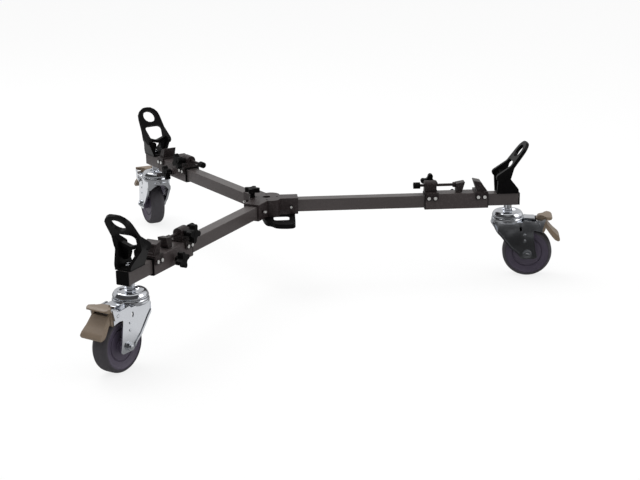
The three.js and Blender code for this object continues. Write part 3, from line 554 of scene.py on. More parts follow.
# Each finish with the colour that it takes and its other values, a wave's height in millimetres
FINISHES = {
    "tube_paint": ("tube", dict(
        roughness=0.34, metallic=0.3, specular=0.4, grain=1400, depth=0.1, mottle=0.06, rub=0.35,
        rub_colour=RUBBED_PAINT, dust=0.05)),
    "sleeve_paint": ("sleeve", dict(
        roughness=0.38, metallic=0.3, specular=0.4, grain=1400, depth=0.12, mottle=0.06, rub=0.4,
        rub_colour=RUBBED_PAINT, dust=0.04)),
    "hub_paint": ("hub", dict(
        roughness=0.38, metallic=0.25, specular=0.35, grain=1100, depth=0.16, mottle=0.07, rub=0.4,
        rub_colour=RUBBED_PAINT, dust=0.04)),
    "clamp_paint": ("clamp", dict(
        roughness=0.36, metallic=0.25, specular=0.35, grain=1000, depth=0.14, mottle=0.08, rub=0.4,
        rub_colour=RUBBED_PAINT, dust=0.02)),
    "cradle_paint": ("cradle", dict(
        roughness=0.32, specular=0.08, grain=1200, depth=0.1, mottle=0.08, rub=0.1, dust=0.004)),
    "knob_plastic": ("plastic", dict(
        roughness=0.42, specular=0.08, grain=2200, depth=0.12, mottle=0.08, rub=0.08, dust=0.004)),
    "zinc_plate": ("zinc", dict(
        roughness=0.17, roughness_spread=0.05, metallic=1.0, grain=500, depth=0.04, wave=1.1, mottle=0.06,
        dust=0.02)),
    "screw_metal": ("screw", dict(
        roughness=0.3, metallic=0.55, grain=500, depth=0.04, mottle=0.05, dust=0.01)),
    "chrome_plate": ("chrome", dict(
        roughness=0.09, roughness_spread=0.03, metallic=1.0, grain=300, depth=0.01, mottle=0.02, dust=0.01)),
    "tread_rubber": ("tread", dict(
        roughness=0.6, grain=1800, depth=0.2, mottle=0.08, rub=0.1, dust=0.06)),
    "wheel_core": ("core", dict(
        roughness=0.5, grain=1800, depth=0.1, mottle=0.05, rub=0.08, dust=0.04)),
    "pedal_moulding": ("pedal", dict(
        roughness=0.46, grain=2000, depth=0.14, mottle=0.06, rub=0.15, dust=0.04)),
}


def make_finishes():
    grain_group()
    wear_group()
    dust_group()
    colours = bpy.context.scene.dolly_colours
    for name, (surface, values) in FINISHES.items():
        finish(name, getattr(colours, surface), **values)


def paint(name):
    return bpy.data.materials[name]


# What a user would change, with lengths kept in metres
def length(label, millimetres, text):
    return FloatProperty(name=label, description=text, default=millimetres * MM, min=0, unit="LENGTH")


def steps_round(label, default, text):
    return IntProperty(name=label, description=text, default=default, min=HEAD_STEPS)


def colour(label, default, text):
    return FloatVectorProperty(
        name=label, description=text, default=default, subtype="COLOR_GAMMA", min=0, max=1)


class DollySizes(bpy.types.PropertyGroup):
    edge: length("Edge rounding", 0.9, "Rounding of cast and painted edges")
    fine_edge: length("Fine rounding", 0.4, "Rounding of small metal edges")
    plastic_edge: length("Plastic rounding", 1.6, "Rounding of moulded knobs and the handle")
    wheel_steps: steps_round("Wheel steps", 96, "Facets round a wheel")
    ring_steps: steps_round("Ring steps", 80, "Facets round a caster ring")
    screw_radius: length("Screw head", 3.4, "Radius of a saddle screw's head")
    bolt_radius: length("Bolt head", 4.2, "Radius of an arm bolt's head")


class DollyColours(bpy.types.PropertyGroup):
    tube: colour("Tube", (0.31, 0.288, 0.286), "Paint of the arm tubes")
    sleeve: colour("Sleeve", (0.285, 0.257, 0.257), "Paint of the sliding sleeves")
    hub: colour("Hub", (0.20, 0.17, 0.172), "Paint of the hub casting")
    clamp: colour("Clamp", (0.15, 0.12, 0.122), "Paint of the clamp blocks and jaws")
    cradle: colour("Cradle", (0.045, 0.042, 0.045), "Paint of the foot cradles")
    plastic: colour("Black plastic", (0.045, 0.042, 0.044), "Knobs, handle, bushes and end caps")
    zinc: colour("Zinc", (0.83, 0.84, 0.86), "Bright zinc plate of forks, stems, axles and shoes")
    screw: colour("Screws", (0.88, 0.88, 0.87), "Bright screw and bolt heads")
    chrome: colour("Chrome", (0.85, 0.86, 0.88), "Polished caster rings")
    tread: colour("Tread", (0.24, 0.23, 0.25), "Rubber of the tread")
    core: colour("Wheel core", (0.29, 0.26, 0.325), "Moulded wheel core")
    pedal: colour("Pedal", (0.47, 0.41, 0.345), "Moulded treads of the brake pedal")
    dust: colour("Dust", (0.7354, 0.7152, 0.6944), "Settled dust")


class DOLLY_OT_hub(bpy.types.Operator):
    """Cast hub with its sockets, bore and screw holes"""

    bl_idname = "dolly.hub"
    bl_label = "Hub"

    def execute(self, context):
        mesh = softened_copy("hub_body", HUB_PLACE, context.scene.dolly_sizes.edge, CAST_SEGMENTS)
        finished("hub_casting", mesh, "frame", paint("hub_paint"), ["hub_body"])
        return {"FINISHED"}


class DOLLY_OT_handle(bpy.types.Operator):
    """Flat pull handle under the hub"""

    bl_idname = "dolly.handle"
    bl_label = "Pull handle"

    OUTLINE = [
        (0, 1, 0.5), (0.02, 0.7, 0), (0.06, 0.46, 0), (0.13, 0.25, 1), (0.28, 0.2, 0.7), (0.4, 0.04, 1),
        (0.8, 0, 1), (0.96, 0.06, 1), (1, 1, 0.5),
    ]
    CORNER = 12.0
    CORNER_STEPS = 8
    LEFT, RIGHT, REACH, ROOT = -11.0, 57.0, -89.6, 12.0
    SLOT = [(12.5, -1, 8), (12.5, -56, 8), (44.5, -56, 8), (44.5, -1, 8)]
    BOTTOM, TOP = 135.2, 144.2
    SCREWS = [(1.5, -12.0), (50.5, -12.0)]
    HEAD_RADIUS = 4.0
    HEAD_BELOW, HEAD_INSIDE = 2.0, 1.0

    def execute(self, context):
        sizes = context.scene.dolly_sizes
        plan = shares(self.OUTLINE, (self.LEFT, self.REACH), (self.RIGHT, self.ROOT), self.CORNER)
        outlines = [rounded(points, self.CORNER_STEPS) for points in (plan, self.SLOT)]
        plate = softened(extruded(outlines, self.BOTTOM, self.TOP), sizes.plastic_edge, MOULDED_SEGMENTS)
        low, high = self.BOTTOM - self.HEAD_BELOW, self.BOTTOM + self.HEAD_INSIDE
        heads = []
        for x, y in self.SCREWS:
            head = softened(extruded([circle(self.HEAD_RADIUS, HEAD_STEPS)], low, high), sizes.fine_edge)
            heads.append(put(head, Matrix.Translation((x, y, 0))))
        mesh = put(joined(plate, *heads), HUB_PLACE)
        finished("pull_handle", mesh, "frame", paint("knob_plastic"), ["carry_handle"])
        return {"FINISHED"}


class DOLLY_OT_arms(bpy.types.Operator):
    """Square arm tubes and their end caps"""

    bl_idname = "dolly.arms"
    bl_label = "Arm tubes"

    def execute(self, context):
        sizes = context.scene.dolly_sizes
        for arm in ARMS:
            place = arm_place(arm)
            tube = softened_copy(f"{arm}_arm_tube", place, sizes.fine_edge)
            finished(f"{arm}_tube", tube, "frame", paint("tube_paint"), [f"{arm}_arm_tube"])
            cap = softened_copy(f"{arm}_end_cap", place, sizes.fine_edge, CAST_SEGMENTS)
            finished(f"{arm}_cap", cap, "frame", paint("knob_plastic"), [f"{arm}_end_cap"])
        return {"FINISHED"}


# A screw head's usual sizes, and its dome and socket as shares of its radius and height
SCREW_SIZES = {"Radius": 4.0, "Height": 2.4, "Socket": 2.0}
DOME_TOP = 0.72
RECESS_LENGTH = 2.0
RECESS_PLACE = 1.25


def raised(tree, shape, height):
    """Geometry moved up by a height."""
    offset = linked(tree, "ShaderNodeCombineXYZ", Z=height)
    return linked(tree, "GeometryNodeTransform", Geometry=shape, Translation=offset.outputs[0]).outputs[0]


def screw_tree():
    """Round screw heads with hexagon sockets, one on each point, facing the way stored on it."""
    tree = bpy.data.node_groups.new("Screw heads", "GeometryNodeTree")
    face = tree.interface
    face.new_socket("Geometry", in_out="INPUT", socket_type="NodeSocketGeometry")
    for label, size in SCREW_SIZES.items():
        socket = face.new_socket(label, in_out="INPUT", socket_type="NodeSocketFloat")
        socket.default_value = size * MM
    face.new_socket("Material", in_out="INPUT", socket_type="NodeSocketMaterial")
    face.new_socket("Geometry", in_out="OUTPUT", socket_type="NodeSocketGeometry")
    entry = tree.nodes.new("NodeGroupInput")
    leave = tree.nodes.new("NodeGroupOutput")
    radius, height, recess_radius = (entry.outputs[label] for label in SCREW_SIZES)
    half = math_node(tree, "MULTIPLY", height, 0.5)
    low = linked(tree, "GeometryNodeMeshCylinder", Vertices=HEAD_STEPS, Radius=radius, Depth=half)
    dome = linked(
        tree, "GeometryNodeMeshCone", Vertices=HEAD_STEPS, Radius_Bottom=radius,
        Radius_Top=math_node(tree, "MULTIPLY", radius, DOME_TOP), Depth=half,
    )
    both = tree.nodes.new("GeometryNodeJoinGeometry")
    tree.links.new(low.outputs["Mesh"], both.inputs[0])
    tree.links.new(raised(tree, dome.outputs["Mesh"], math_node(tree, "MULTIPLY", half, 0.5)), both.inputs[0])
    recess = linked(
        tree, "GeometryNodeMeshCylinder", Vertices=HEXAGON_SIDES, Radius=recess_radius,
        Depth=math_node(tree, "MULTIPLY", height, RECESS_LENGTH),
    )
    tool = raised(tree, recess.outputs["Mesh"], math_node(tree, "MULTIPLY", height, RECESS_PLACE))
    drilled = linked(
        tree, "GeometryNodeMeshBoolean", {"operation": "DIFFERENCE", "solver": "EXACT"},
        _0=both.outputs[0], _1=tool,
    )
    facing = linked(tree, "GeometryNodeInputNamedAttribute", {"data_type": "FLOAT_VECTOR"}, Name="facing")
    turn = linked(
        tree, "FunctionNodeAlignRotationToVector", {"axis": "Z"}, Vector=facing.outputs["Attribute"])
    spread = linked(
        tree, "GeometryNodeInstanceOnPoints", Points=entry.outputs["Geometry"],
        Instance=drilled.outputs[0], Rotation=turn.outputs[0],
    )
    real = linked(tree, "GeometryNodeRealizeInstances", Geometry=spread.outputs[0])
    material = entry.outputs["Material"]
    coat = linked(tree, "GeometryNodeSetMaterial", Geometry=real.outputs[0], Material=material)
    tree.links.new(coat.outputs[0], leave.inputs[0])
    return tree


def grown(tree, mesh, **values):
    """The mesh that a geometry tree makes of this one, with its named inputs set."""
    work = bpy.data.objects.new("work", mesh)
    bpy.context.scene.collection.objects.link(work)
    modifier = work.modifiers.new("Tree", "NODES")
    modifier.node_group = tree
    for item in tree.interface.items_tree:
        if item.in_out == "INPUT" and item.name in values:
            modifier[item.identifier] = values[item.name]
    graph = bpy.context.evaluated_depsgraph_get()
    result = bpy.data.meshes.new_from_object(work.evaluated_get(graph))
    bpy.data.objects.remove(work)
    return result


def seats(places, matrix):
    """Points with the way each one faces, brought from millimetres into place."""
    mesh = bpy.data.meshes.new("seats")
    mesh.from_pydata([matrix @ Vector(point) for point, _ in places], [], [])
    turn = matrix.to_3x3().normalized()
    attribute = mesh.attributes.new("facing", "FLOAT_VECTOR", "POINT")
    for item, (_, facing) in zip(attribute.data, places):
        item.vector = turn @ Vector(facing)
    return mesh


class DOLLY_OT_screws(bpy.types.Operator):
    """Silver screws on the saddles and round-headed bolts through the hub's sockets"""

    bl_idname = "dolly.screws"
    bl_label = "Screws and bolts"

    SADDLE_SCREWS = (6.5, 19.5, 106.5, 119.5)
    SCREWS_UP = 169.1
    SADDLE_SIDE = 20.4
    SCREW_HEIGHT, SCREW_SOCKET = 2.6, 1.9
    BOLT_PLACE = 48.5
    SOCKET_SIDE = 18.4
    BOLT_HEIGHT, BOLT_SOCKET = 3.2, 2.3

    def execute(self, context):
        sizes = context.scene.dolly_sizes
        tree = screw_tree()
        metal = paint("screw_metal")
        for arm in ARMS:
            places = [
                ((reach, side * self.SADDLE_SIDE, self.SCREWS_UP), (0, side, 0))
                for reach in self.SADDLE_SCREWS for side in SIDES
            ]
            mesh = grown(
                tree, seats(places, carriage_place(arm)), Radius=sizes.screw_radius,
                Height=self.SCREW_HEIGHT * MM, Socket=self.SCREW_SOCKET * MM, Material=metal,
            )
            finished(f"{arm}_saddle_screws", mesh, f"{arm}_carriage", metal)
            places = [
                ((self.BOLT_PLACE, side * self.SOCKET_SIDE, TUBE_MIDDLE), (0, side, 0)) for side in SIDES
            ]
            mesh = grown(
                tree, seats(places, arm_place(arm)), Radius=sizes.bolt_radius,
                Height=self.BOLT_HEIGHT * MM, Socket=self.BOLT_SOCKET * MM, Material=metal,
            )
            finished(f"{arm}_bolt_heads", mesh, "frame", metal, [f"{arm}_arm_bolt"])
        return {"FINISHED"}


class DOLLY_OT_carriages(bpy.types.Operator):
    """Sliding sleeves with their bushes, clamp blocks and leaning jaws"""

    bl_idname = "dolly.carriages"
    bl_label = "Carriages"

    JAW_TOP = 202.0
    JAW_TOP_BAND = 4.0
    JAW_INNER = 97.5
    JAW_SLANT = 0.22

    def slanted(self, x, y, z):
        """The back jaw's top falls away towards the arm's end."""
        drop = self.JAW_SLANT * (x - self.JAW_INNER) if z > self.JAW_TOP - self.JAW_TOP_BAND else 0
        return (x, y, z - drop)

    def execute(self, context):
        sizes = context.scene.dolly_sizes
        pieces = (
            ("carriage_sleeve", "sleeve", "sleeve", "sleeve_paint", sizes.fine_edge),
            ("carriage_liner", "bush", "black_plastic", "knob_plastic", sizes.fine_edge / 2),
            ("clamp_block", "clamp", "clamp", "clamp_paint", sizes.edge),
            ("fixed_jaw", "back_jaw", "clamp", "clamp_paint", sizes.edge),
        )
        for arm in ARMS:
            place = carriage_place(arm)
            for node, name, slot, coat, rounding in pieces:
                mesh = cad_copy(f"{arm}_{node}", place)
                if node == "fixed_jaw":
                    mesh = reshaped(mesh, self.slanted)
                mesh = put(softened(mesh, rounding), place)
                finished(f"{arm}_{name}", mesh, f"{arm}_carriage", paint(coat), [f"{arm}_{node}"])
        return {"FINISHED"}


class DOLLY_OT_jaws(bpy.types.Operator):
    """Rods with their boot-shaped jaws and knurled knobs"""

    bl_idname = "dolly.jaws"
    bl_label = "Sliding jaws"

    RIBS = 48
    RIB_RADII = (6.25, 6.7)
    GRIP_ENDS = (-22.9, -9.3)
    GRIP_ANGLE = 60

    def grip(self, sizes):
        """Knurled knob, with every other point of its outline drawn in."""
        outline = []
        for index, (across, up) in enumerate(circle(1, self.RIBS)):
            radius = self.RIB_RADII[index % 2]
            outline.append((radius * across, radius * up))
        return softened(extruded([outline], *self.GRIP_ENDS), sizes.edge, CAST_SEGMENTS, self.GRIP_ANGLE)

    def execute(self, context):
        sizes = context.scene.dolly_sizes
        for arm in ARMS:
            place = jaw_place(arm)
            jaw = softened_copy(f"{arm}_sliding_jaw", place, sizes.edge)
            finished(f"{arm}_boot_jaw", jaw, f"{arm}_jaw", paint("clamp_paint"),
                     [f"{arm}_sliding_jaw"])
            grip = put(self.grip(sizes), place @ Matrix.Translation((0, 0, ROD_HEIGHT)) @ ALONG)
            finished(f"{arm}_rod_grip", grip, f"{arm}_jaw", paint("knob_plastic"),
                     [f"{arm}_rod_knob"], TURNED_SHARP_ANGLE)
        return {"FINISHED"}


class DOLLY_OT_knobs(bpy.types.Operator):
    """Star knobs of the hub, the sleeves and the rod locks"""

    bl_idname = "dolly.knobs"
    bl_label = "Star knobs"

    # Seats are (along the arm, across it, up), and the turns are in degrees
    HUB_KNOB = dict(tip=15.5, lobe=4.2, neck=5.5, thickness=9, stalk=10.5, screw_radius=3, screw_length=15)
    HUB_SEAT = (-28, 0, 178.3)
    HUB_TURN = -18
    SLEEVE_KNOB = dict(tip=16, lobe=4.4, neck=5.5, thickness=11, stalk=6.5, screw_radius=3, screw_length=7)
    SLEEVE_SEAT = (SLEEVE_KNOB_PLACE, 19.8, 157.5)
    SLEEVE_TURNS = {"right": 10, "rear": 30, "front": 15}
    LOCK_KNOB = dict(tip=17.5, lobe=5, neck=6.5, thickness=10, stalk=11.7, screw_radius=2.5, screw_length=7.1)
    LOCK_SEAT = (12.5, 10.3, ROD_HEIGHT)
    LOCK_TURNS = {"right": 12, "rear": 30, "front": -12}

    WAIST, FOOT_CORNER = 0.6, 0.8
    CAP_SHARE, CAP_RISE, CAP_CORNER = 0.8, 0.5, 0.6
    OVERLAP, SCREW_OVERLAP = 1.0, 0.5

    def star_knob(self, sizes, tip, lobe, neck, thickness, stalk, screw_radius, screw_length):
        """A star on a waisted stalk, with a low cap on top and its screw below."""
        top = stalk + thickness
        disc = softened(extruded([star(tip, lobe, neck)], stalk, top), sizes.plastic_edge, MOULDED_SEGMENTS)
        stalk_profile = [
            (0, 0), (neck, 0, self.FOOT_CORNER), (neck - self.WAIST, stalk / 2), (neck, stalk + self.OVERLAP),
            (0, stalk + self.OVERLAP),
        ]
        cap = neck * self.CAP_SHARE
        cap_profile = [
            (0, top - self.OVERLAP), (cap, top - self.OVERLAP), (cap, top + self.CAP_RISE, self.CAP_CORNER),
            (0, top + self.CAP_RISE),
        ]
        screw_profile = [
            (0, -screw_length), (screw_radius, -screw_length), (screw_radius, self.SCREW_OVERLAP),
            (0, self.SCREW_OVERLAP),
        ]
        turned_parts = [spun(rounded(profile), TURNED_STEPS) for profile in (stalk_profile, cap_profile)]
        return joined(disc, *turned_parts, spun(screw_profile, HEAD_STEPS))

    def execute(self, context):
        sizes = context.scene.dolly_sizes
        plastic = paint("knob_plastic")
        place = HUB_PLACE @ Matrix.Translation(self.HUB_SEAT) @ turned(self.HUB_TURN, "Z")
        mesh = put(self.star_knob(sizes, **self.HUB_KNOB), place)
        finished("hub_star", mesh, "hub_knob", plastic, ["hub_knob"])
        for arm in ARMS:
            place = carriage_place(arm) @ leftward(*self.SLEEVE_SEAT, self.SLEEVE_TURNS[arm])
            mesh = put(self.star_knob(sizes, **self.SLEEVE_KNOB), place)
            finished(f"{arm}_sleeve_star", mesh, f"{arm}_carriage_lock", plastic,
                     [f"{arm}_sleeve_knob"])
            place = carriage_place(arm) @ leftward(*self.LOCK_SEAT, self.LOCK_TURNS[arm])
            mesh = put(self.star_knob(sizes, **self.LOCK_KNOB), place)
            finished(f"{arm}_lock_star", mesh, f"{arm}_jaw_lock", plastic,
                     [f"{arm}_rod_lock_knob"])
        return {"FINISHED"}


class DOLLY_OT_cradles(bpy.types.Operator):
    """Bent foot cradles over the arm ends"""

    bl_idname = "dolly.cradles"
    bl_label = "Foot cradles"

    # Width by height above the tube, as a share of the solid's
    KNEE_FLARE = [(0, 1), (9, 1), (36, 1.19), (56, 1.19), (78, 1)]
    LUG = [(5.5, 22, 1), (5.5, 30, 2), (22.5, 39), (22.5, 33), (12.5, 12), (9, 12, 1)]
    LUG_ENDS = (-21.0, -9.0)
    LUG_STEPS = 4

    def flared(self, x, y, z):
        """The loop plate and its cheeks are widest at the knee."""
        return (x, y * between(z - TUBE_TOP, self.KNEE_FLARE), z)

    def lugs(self):
        """Thick inner lugs below the knee, with a narrow gap between them."""
        near = [(-x, TUBE_TOP + z, *corner) for x, z, *corner in self.LUG]
        far = [(x, TUBE_TOP + z, *corner) for x, z, *corner in reversed(self.LUG)]
        inner, outer = (CASTER_REACH + end for end in self.LUG_ENDS)
        return [put(extruded([rounded(plan, self.LUG_STEPS)], inner, outer), ALONG) for plan in (near, far)]

    def execute(self, context):
        sizes = context.scene.dolly_sizes
        for arm in ARMS:
            place = arm_place(arm)
            mesh = reshaped(cad_copy(f"{arm}_foot_cradle", place), self.flared)
            lugs = [softened(lug, sizes.edge) for lug in self.lugs()]
            mesh = put(joined(softened(mesh, sizes.edge), *lugs), place)
            finished(f"{arm}_cradle", mesh, "frame", paint("cradle_paint"), [f"{arm}_foot_cradle"])
        return {"FINISHED"}


class DOLLY_OT_casters(bpy.types.Operator):
    """Caster stems, rings, forks and axles"""

    bl_idname = "dolly.casters"
    bl_label = "Casters"

    # Turned shapes are profiles of (radius, height, corner)
    RING = [
        (6.3, 123.6), (30.6, 123.6, 0.8), (31.5, 126, 1.6), (30.6, 129.2, 1.6), (29.2, 131.4, 1),
        (28.2, 133.2, 1.2), (25.4, 135, 1.4), (21.5, 134.2, 2), (17.5, 130.9, 2), (14, 130.3, 1),
        (6.3, 130.3),
    ]
    RACE = [
        (28.5, 113), (30.4, 113, 1), (32.3, 116.4, 1.6), (32.3, 120.2, 1.6), (31, 122.8, 1), (28.5, 122.8),
    ]
    RING_CORNER_STEPS = 5
    STEM_HEXAGONS = [(17, 130.8, 140), (15, 177.3, 182.3)]
    STEM_NECK = [(0, 139), (8, 139), (8, 148.2), (0, 148.2)]
    STEM_NECK_STEPS = 48
    STEM_BOLT = [(0, 140), (5, 140), (5, 184.8, 0.8), (0, 184.8)]
    SWIVEL_PIN = [(0, 108), (6, 108), (6, 142), (0, 142)]
    SWIVEL_RIVET = [(0, 109), (10, 109, 1), (10, 112, 1), (0, 112)]
    LEG_FACE = 26.0
    LEG_SLOT = (26.7, 102.9, 2.4, 5.0)
    SLOT_OVERREACH = 2.0
    RIVETS = [(34.8, 90.2), (35.6, 77.4)]
    RIVET_DOME = [(0, -0.5), (2.8, -0.5), (2.6, 0.9, 1), (0, 1.1)]
    WASHER = [(0, -0.5), (8.8, -0.5), (8.8, 1, 0.4), (0, 1)]
    WASHER_STEPS = 36
    BOLT_END = [(0, 4.5), (4, 4.5), (4, 7.8, 0.8), (0, 8.2)]

    def stem(self, sizes):
        """Bolt, its two hexagons and the swivel pin with its rivet."""
        hexagons = [
            softened(extruded([hexagon(across)], low, high), sizes.edge)
            for across, low, high in self.STEM_HEXAGONS
        ]
        neck = spun(self.STEM_NECK, self.STEM_NECK_STEPS)
        shafts = [
            spun(rounded(profile), TURNED_STEPS)
            for profile in (self.STEM_BOLT, self.SWIVEL_PIN, self.SWIVEL_RIVET)
        ]
        return joined(*hexagons, neck, *shafts)

    def leg_slot(self):
        """Tool for the oval hole through both legs."""
        x, z, half_width, half_height = self.LEG_SLOT
        oval = [(x + half_width * across, z + half_height * up) for across, up in circle(1, HEAD_STEPS)]
        reach = self.LEG_FACE + self.SLOT_OVERREACH
        return put(extruded([oval], -reach, reach), ACROSS)

    def on_legs(self, profile, x, z, steps=HEAD_STEPS):
        """A turned shape standing on both legs' outer faces."""
        shapes = []
        for side in SIDES:
            place = Matrix.Translation((x, side * self.LEG_FACE, z)) @ turned(-90 * side, "X")
            shapes.append(put(spun(rounded(profile), steps), place))
        return shapes

    def rivets(self):
        """Domed rivet heads."""
        return [head for x, z in self.RIVETS for head in self.on_legs(self.RIVET_DOME, x, z)]

    def axle_ends(self):
        """Washers under the axle's hexagons and the bolt's ends beyond them."""
        washers = self.on_legs(self.WASHER, WHEEL_TRAIL, WHEEL_RADIUS, self.WASHER_STEPS)
        return [*washers, *self.on_legs(self.BOLT_END, WHEEL_TRAIL, WHEEL_RADIUS)]

    def execute(self, context):
        sizes = context.scene.dolly_sizes
        zinc = paint("zinc_plate")
        chrome = paint("chrome_plate")
        ring_profile, race_profile = (
            rounded(profile, self.RING_CORNER_STEPS) for profile in (self.RING, self.RACE)
        )
        for arm in ARMS:
            place = caster_place(arm)
            stem = put(self.stem(sizes), place)
            finished(f"{arm}_stem", stem, "frame", zinc, [f"{arm}_caster_stem"])
            ring = put(spun(ring_profile, sizes.ring_steps), place)
            finished(f"{arm}_ring", ring, "frame", chrome, [f"{arm}_caster_head"], RING_SHARP_ANGLE)
            fork = softened(cut(cad_copy(f"{arm}_caster_fork", place), self.leg_slot()), sizes.fine_edge)
            race = spun(race_profile, sizes.ring_steps)
            fork = put(joined(fork, race, *self.rivets()), place)
            finished(f"{arm}_fork", fork, f"{arm}_caster", zinc, [f"{arm}_caster_fork"],
                     TURNED_SHARP_ANGLE)
            axle = softened(cad_copy(f"{arm}_wheel_axle", place), sizes.fine_edge)
            axle = put(joined(axle, *self.axle_ends()), place)
            finished(f"{arm}_axle", axle, f"{arm}_caster", zinc, [f"{arm}_wheel_axle"])
        return {"FINISHED"}


class DOLLY_OT_wheels(bpy.types.Operator):
    """Tyres and wheel cores"""

    bl_idname = "dolly.wheels"
    bl_label = "Wheels"

    # Profiles of (radius, distance from the wheel's middle plane, corner)
    TYRE = [(43.5, -16), (45.5, -16, 1.5), (50, -11, 5), (50, 11, 5), (45.5, 16, 1.5), (43.5, 16)]
    TYRE_CORNER_STEPS = 8
    SIDE = [
        (4.4, 22.5, 0), (13, 22.5, 1), (13, 11.3, 1), (27.6, 11.3, 0.6), (28, 9.6, 0.4), (30, 9.6, 0.4),
        (30.4, 11.3, 0.6), (38, 13.2, 3), (41, 15, 1), (43.4, 15, 0.3),
    ]
    SIDE_CORNER_STEPS = 4

    def execute(self, context):
        steps = context.scene.dolly_sizes.wheel_steps
        other_side = [(radius, -height, corner) for radius, height, corner in reversed(self.SIDE)]
        core_profile = rounded([*self.SIDE, *other_side], self.SIDE_CORNER_STEPS)
        tyre_profile = rounded(self.TYRE, self.TYRE_CORNER_STEPS)
        for arm in ARMS:
            place = caster_place(arm) @ Matrix.Translation((WHEEL_TRAIL, 0, WHEEL_RADIUS)) @ ACROSS
            tyre = put(spun(tyre_profile, steps), place)
            finished(f"{arm}_tread", tyre, f"{arm}_wheel", paint("tread_rubber"), [f"{arm}_tyre"],
                     TURNED_SHARP_ANGLE)
            core = put(spun(core_profile, steps), place)
            finished(f"{arm}_core", core, f"{arm}_wheel", paint("wheel_core"), [f"{arm}_wheel_core"],
                     TURNED_SHARP_ANGLE)
        return {"FINISHED"}


class DOLLY_OT_pedals(bpy.types.Operator):
    """Brake pedals, with moulded treads on a metal shoe"""

    bl_idname = "dolly.pedals"
    bl_label = "Brake pedals"

    # Height where the treads meet, how far out the shoe goes, and widths as shares of the solid's
    JOIN = 119.2
    SHOE_END = 71.0
    UPPER_STEPS = (66.0, 73.0, 79.0)
    UPPER_SHARES = [(57, 0.3), (66, 0.36), (73, 0.62), (79, 0.9), (92, 0.92)]
    LOWER_SHARES = [(76, 0.94), (100, 0.94), (116, 1)]

    def upper_width(self, x, y, z):
        """The upper tread is narrow where it meets the fork."""
        return (x, y * between(x, self.UPPER_SHARES), z)

    def lower_width(self, x, y, z):
        """The lower tread is a little narrower at its foot."""
        return (x, y * between(z, self.LOWER_SHARES), z)

    def execute(self, context):
        sizes = context.scene.dolly_sizes
        for arm in ARMS:
            place = caster_place(arm)
            node = f"{arm}_brake_pedal"
            whole = cad_triangles(node, place)
            upper = sliced(whole, "z", self.JOIN, 1)
            for step in self.UPPER_STEPS:
                upper = sliced(upper, "x", step)
            upper = reshaped(upper, self.upper_width)
            below = sliced(whole, "z", self.JOIN, -1)
            lower = reshaped(sliced(below, "x", self.SHOE_END, 1), self.lower_width)
            treads = [softened(flattened(tread), sizes.edge, CAST_SEGMENTS) for tread in (upper, lower)]
            pedal = put(joined(*treads), place)
            finished(f"{arm}_pedal", pedal, f"{arm}_brake", paint("pedal_moulding"), [node])
            shoe = sliced(below, "x", self.SHOE_END, -1)
            shoe = put(softened(flattened(shoe), sizes.fine_edge), place)
            finished(f"{arm}_shoe", shoe, f"{arm}_brake", paint("zinc_plate"), [node])
        return {"FINISHED"}


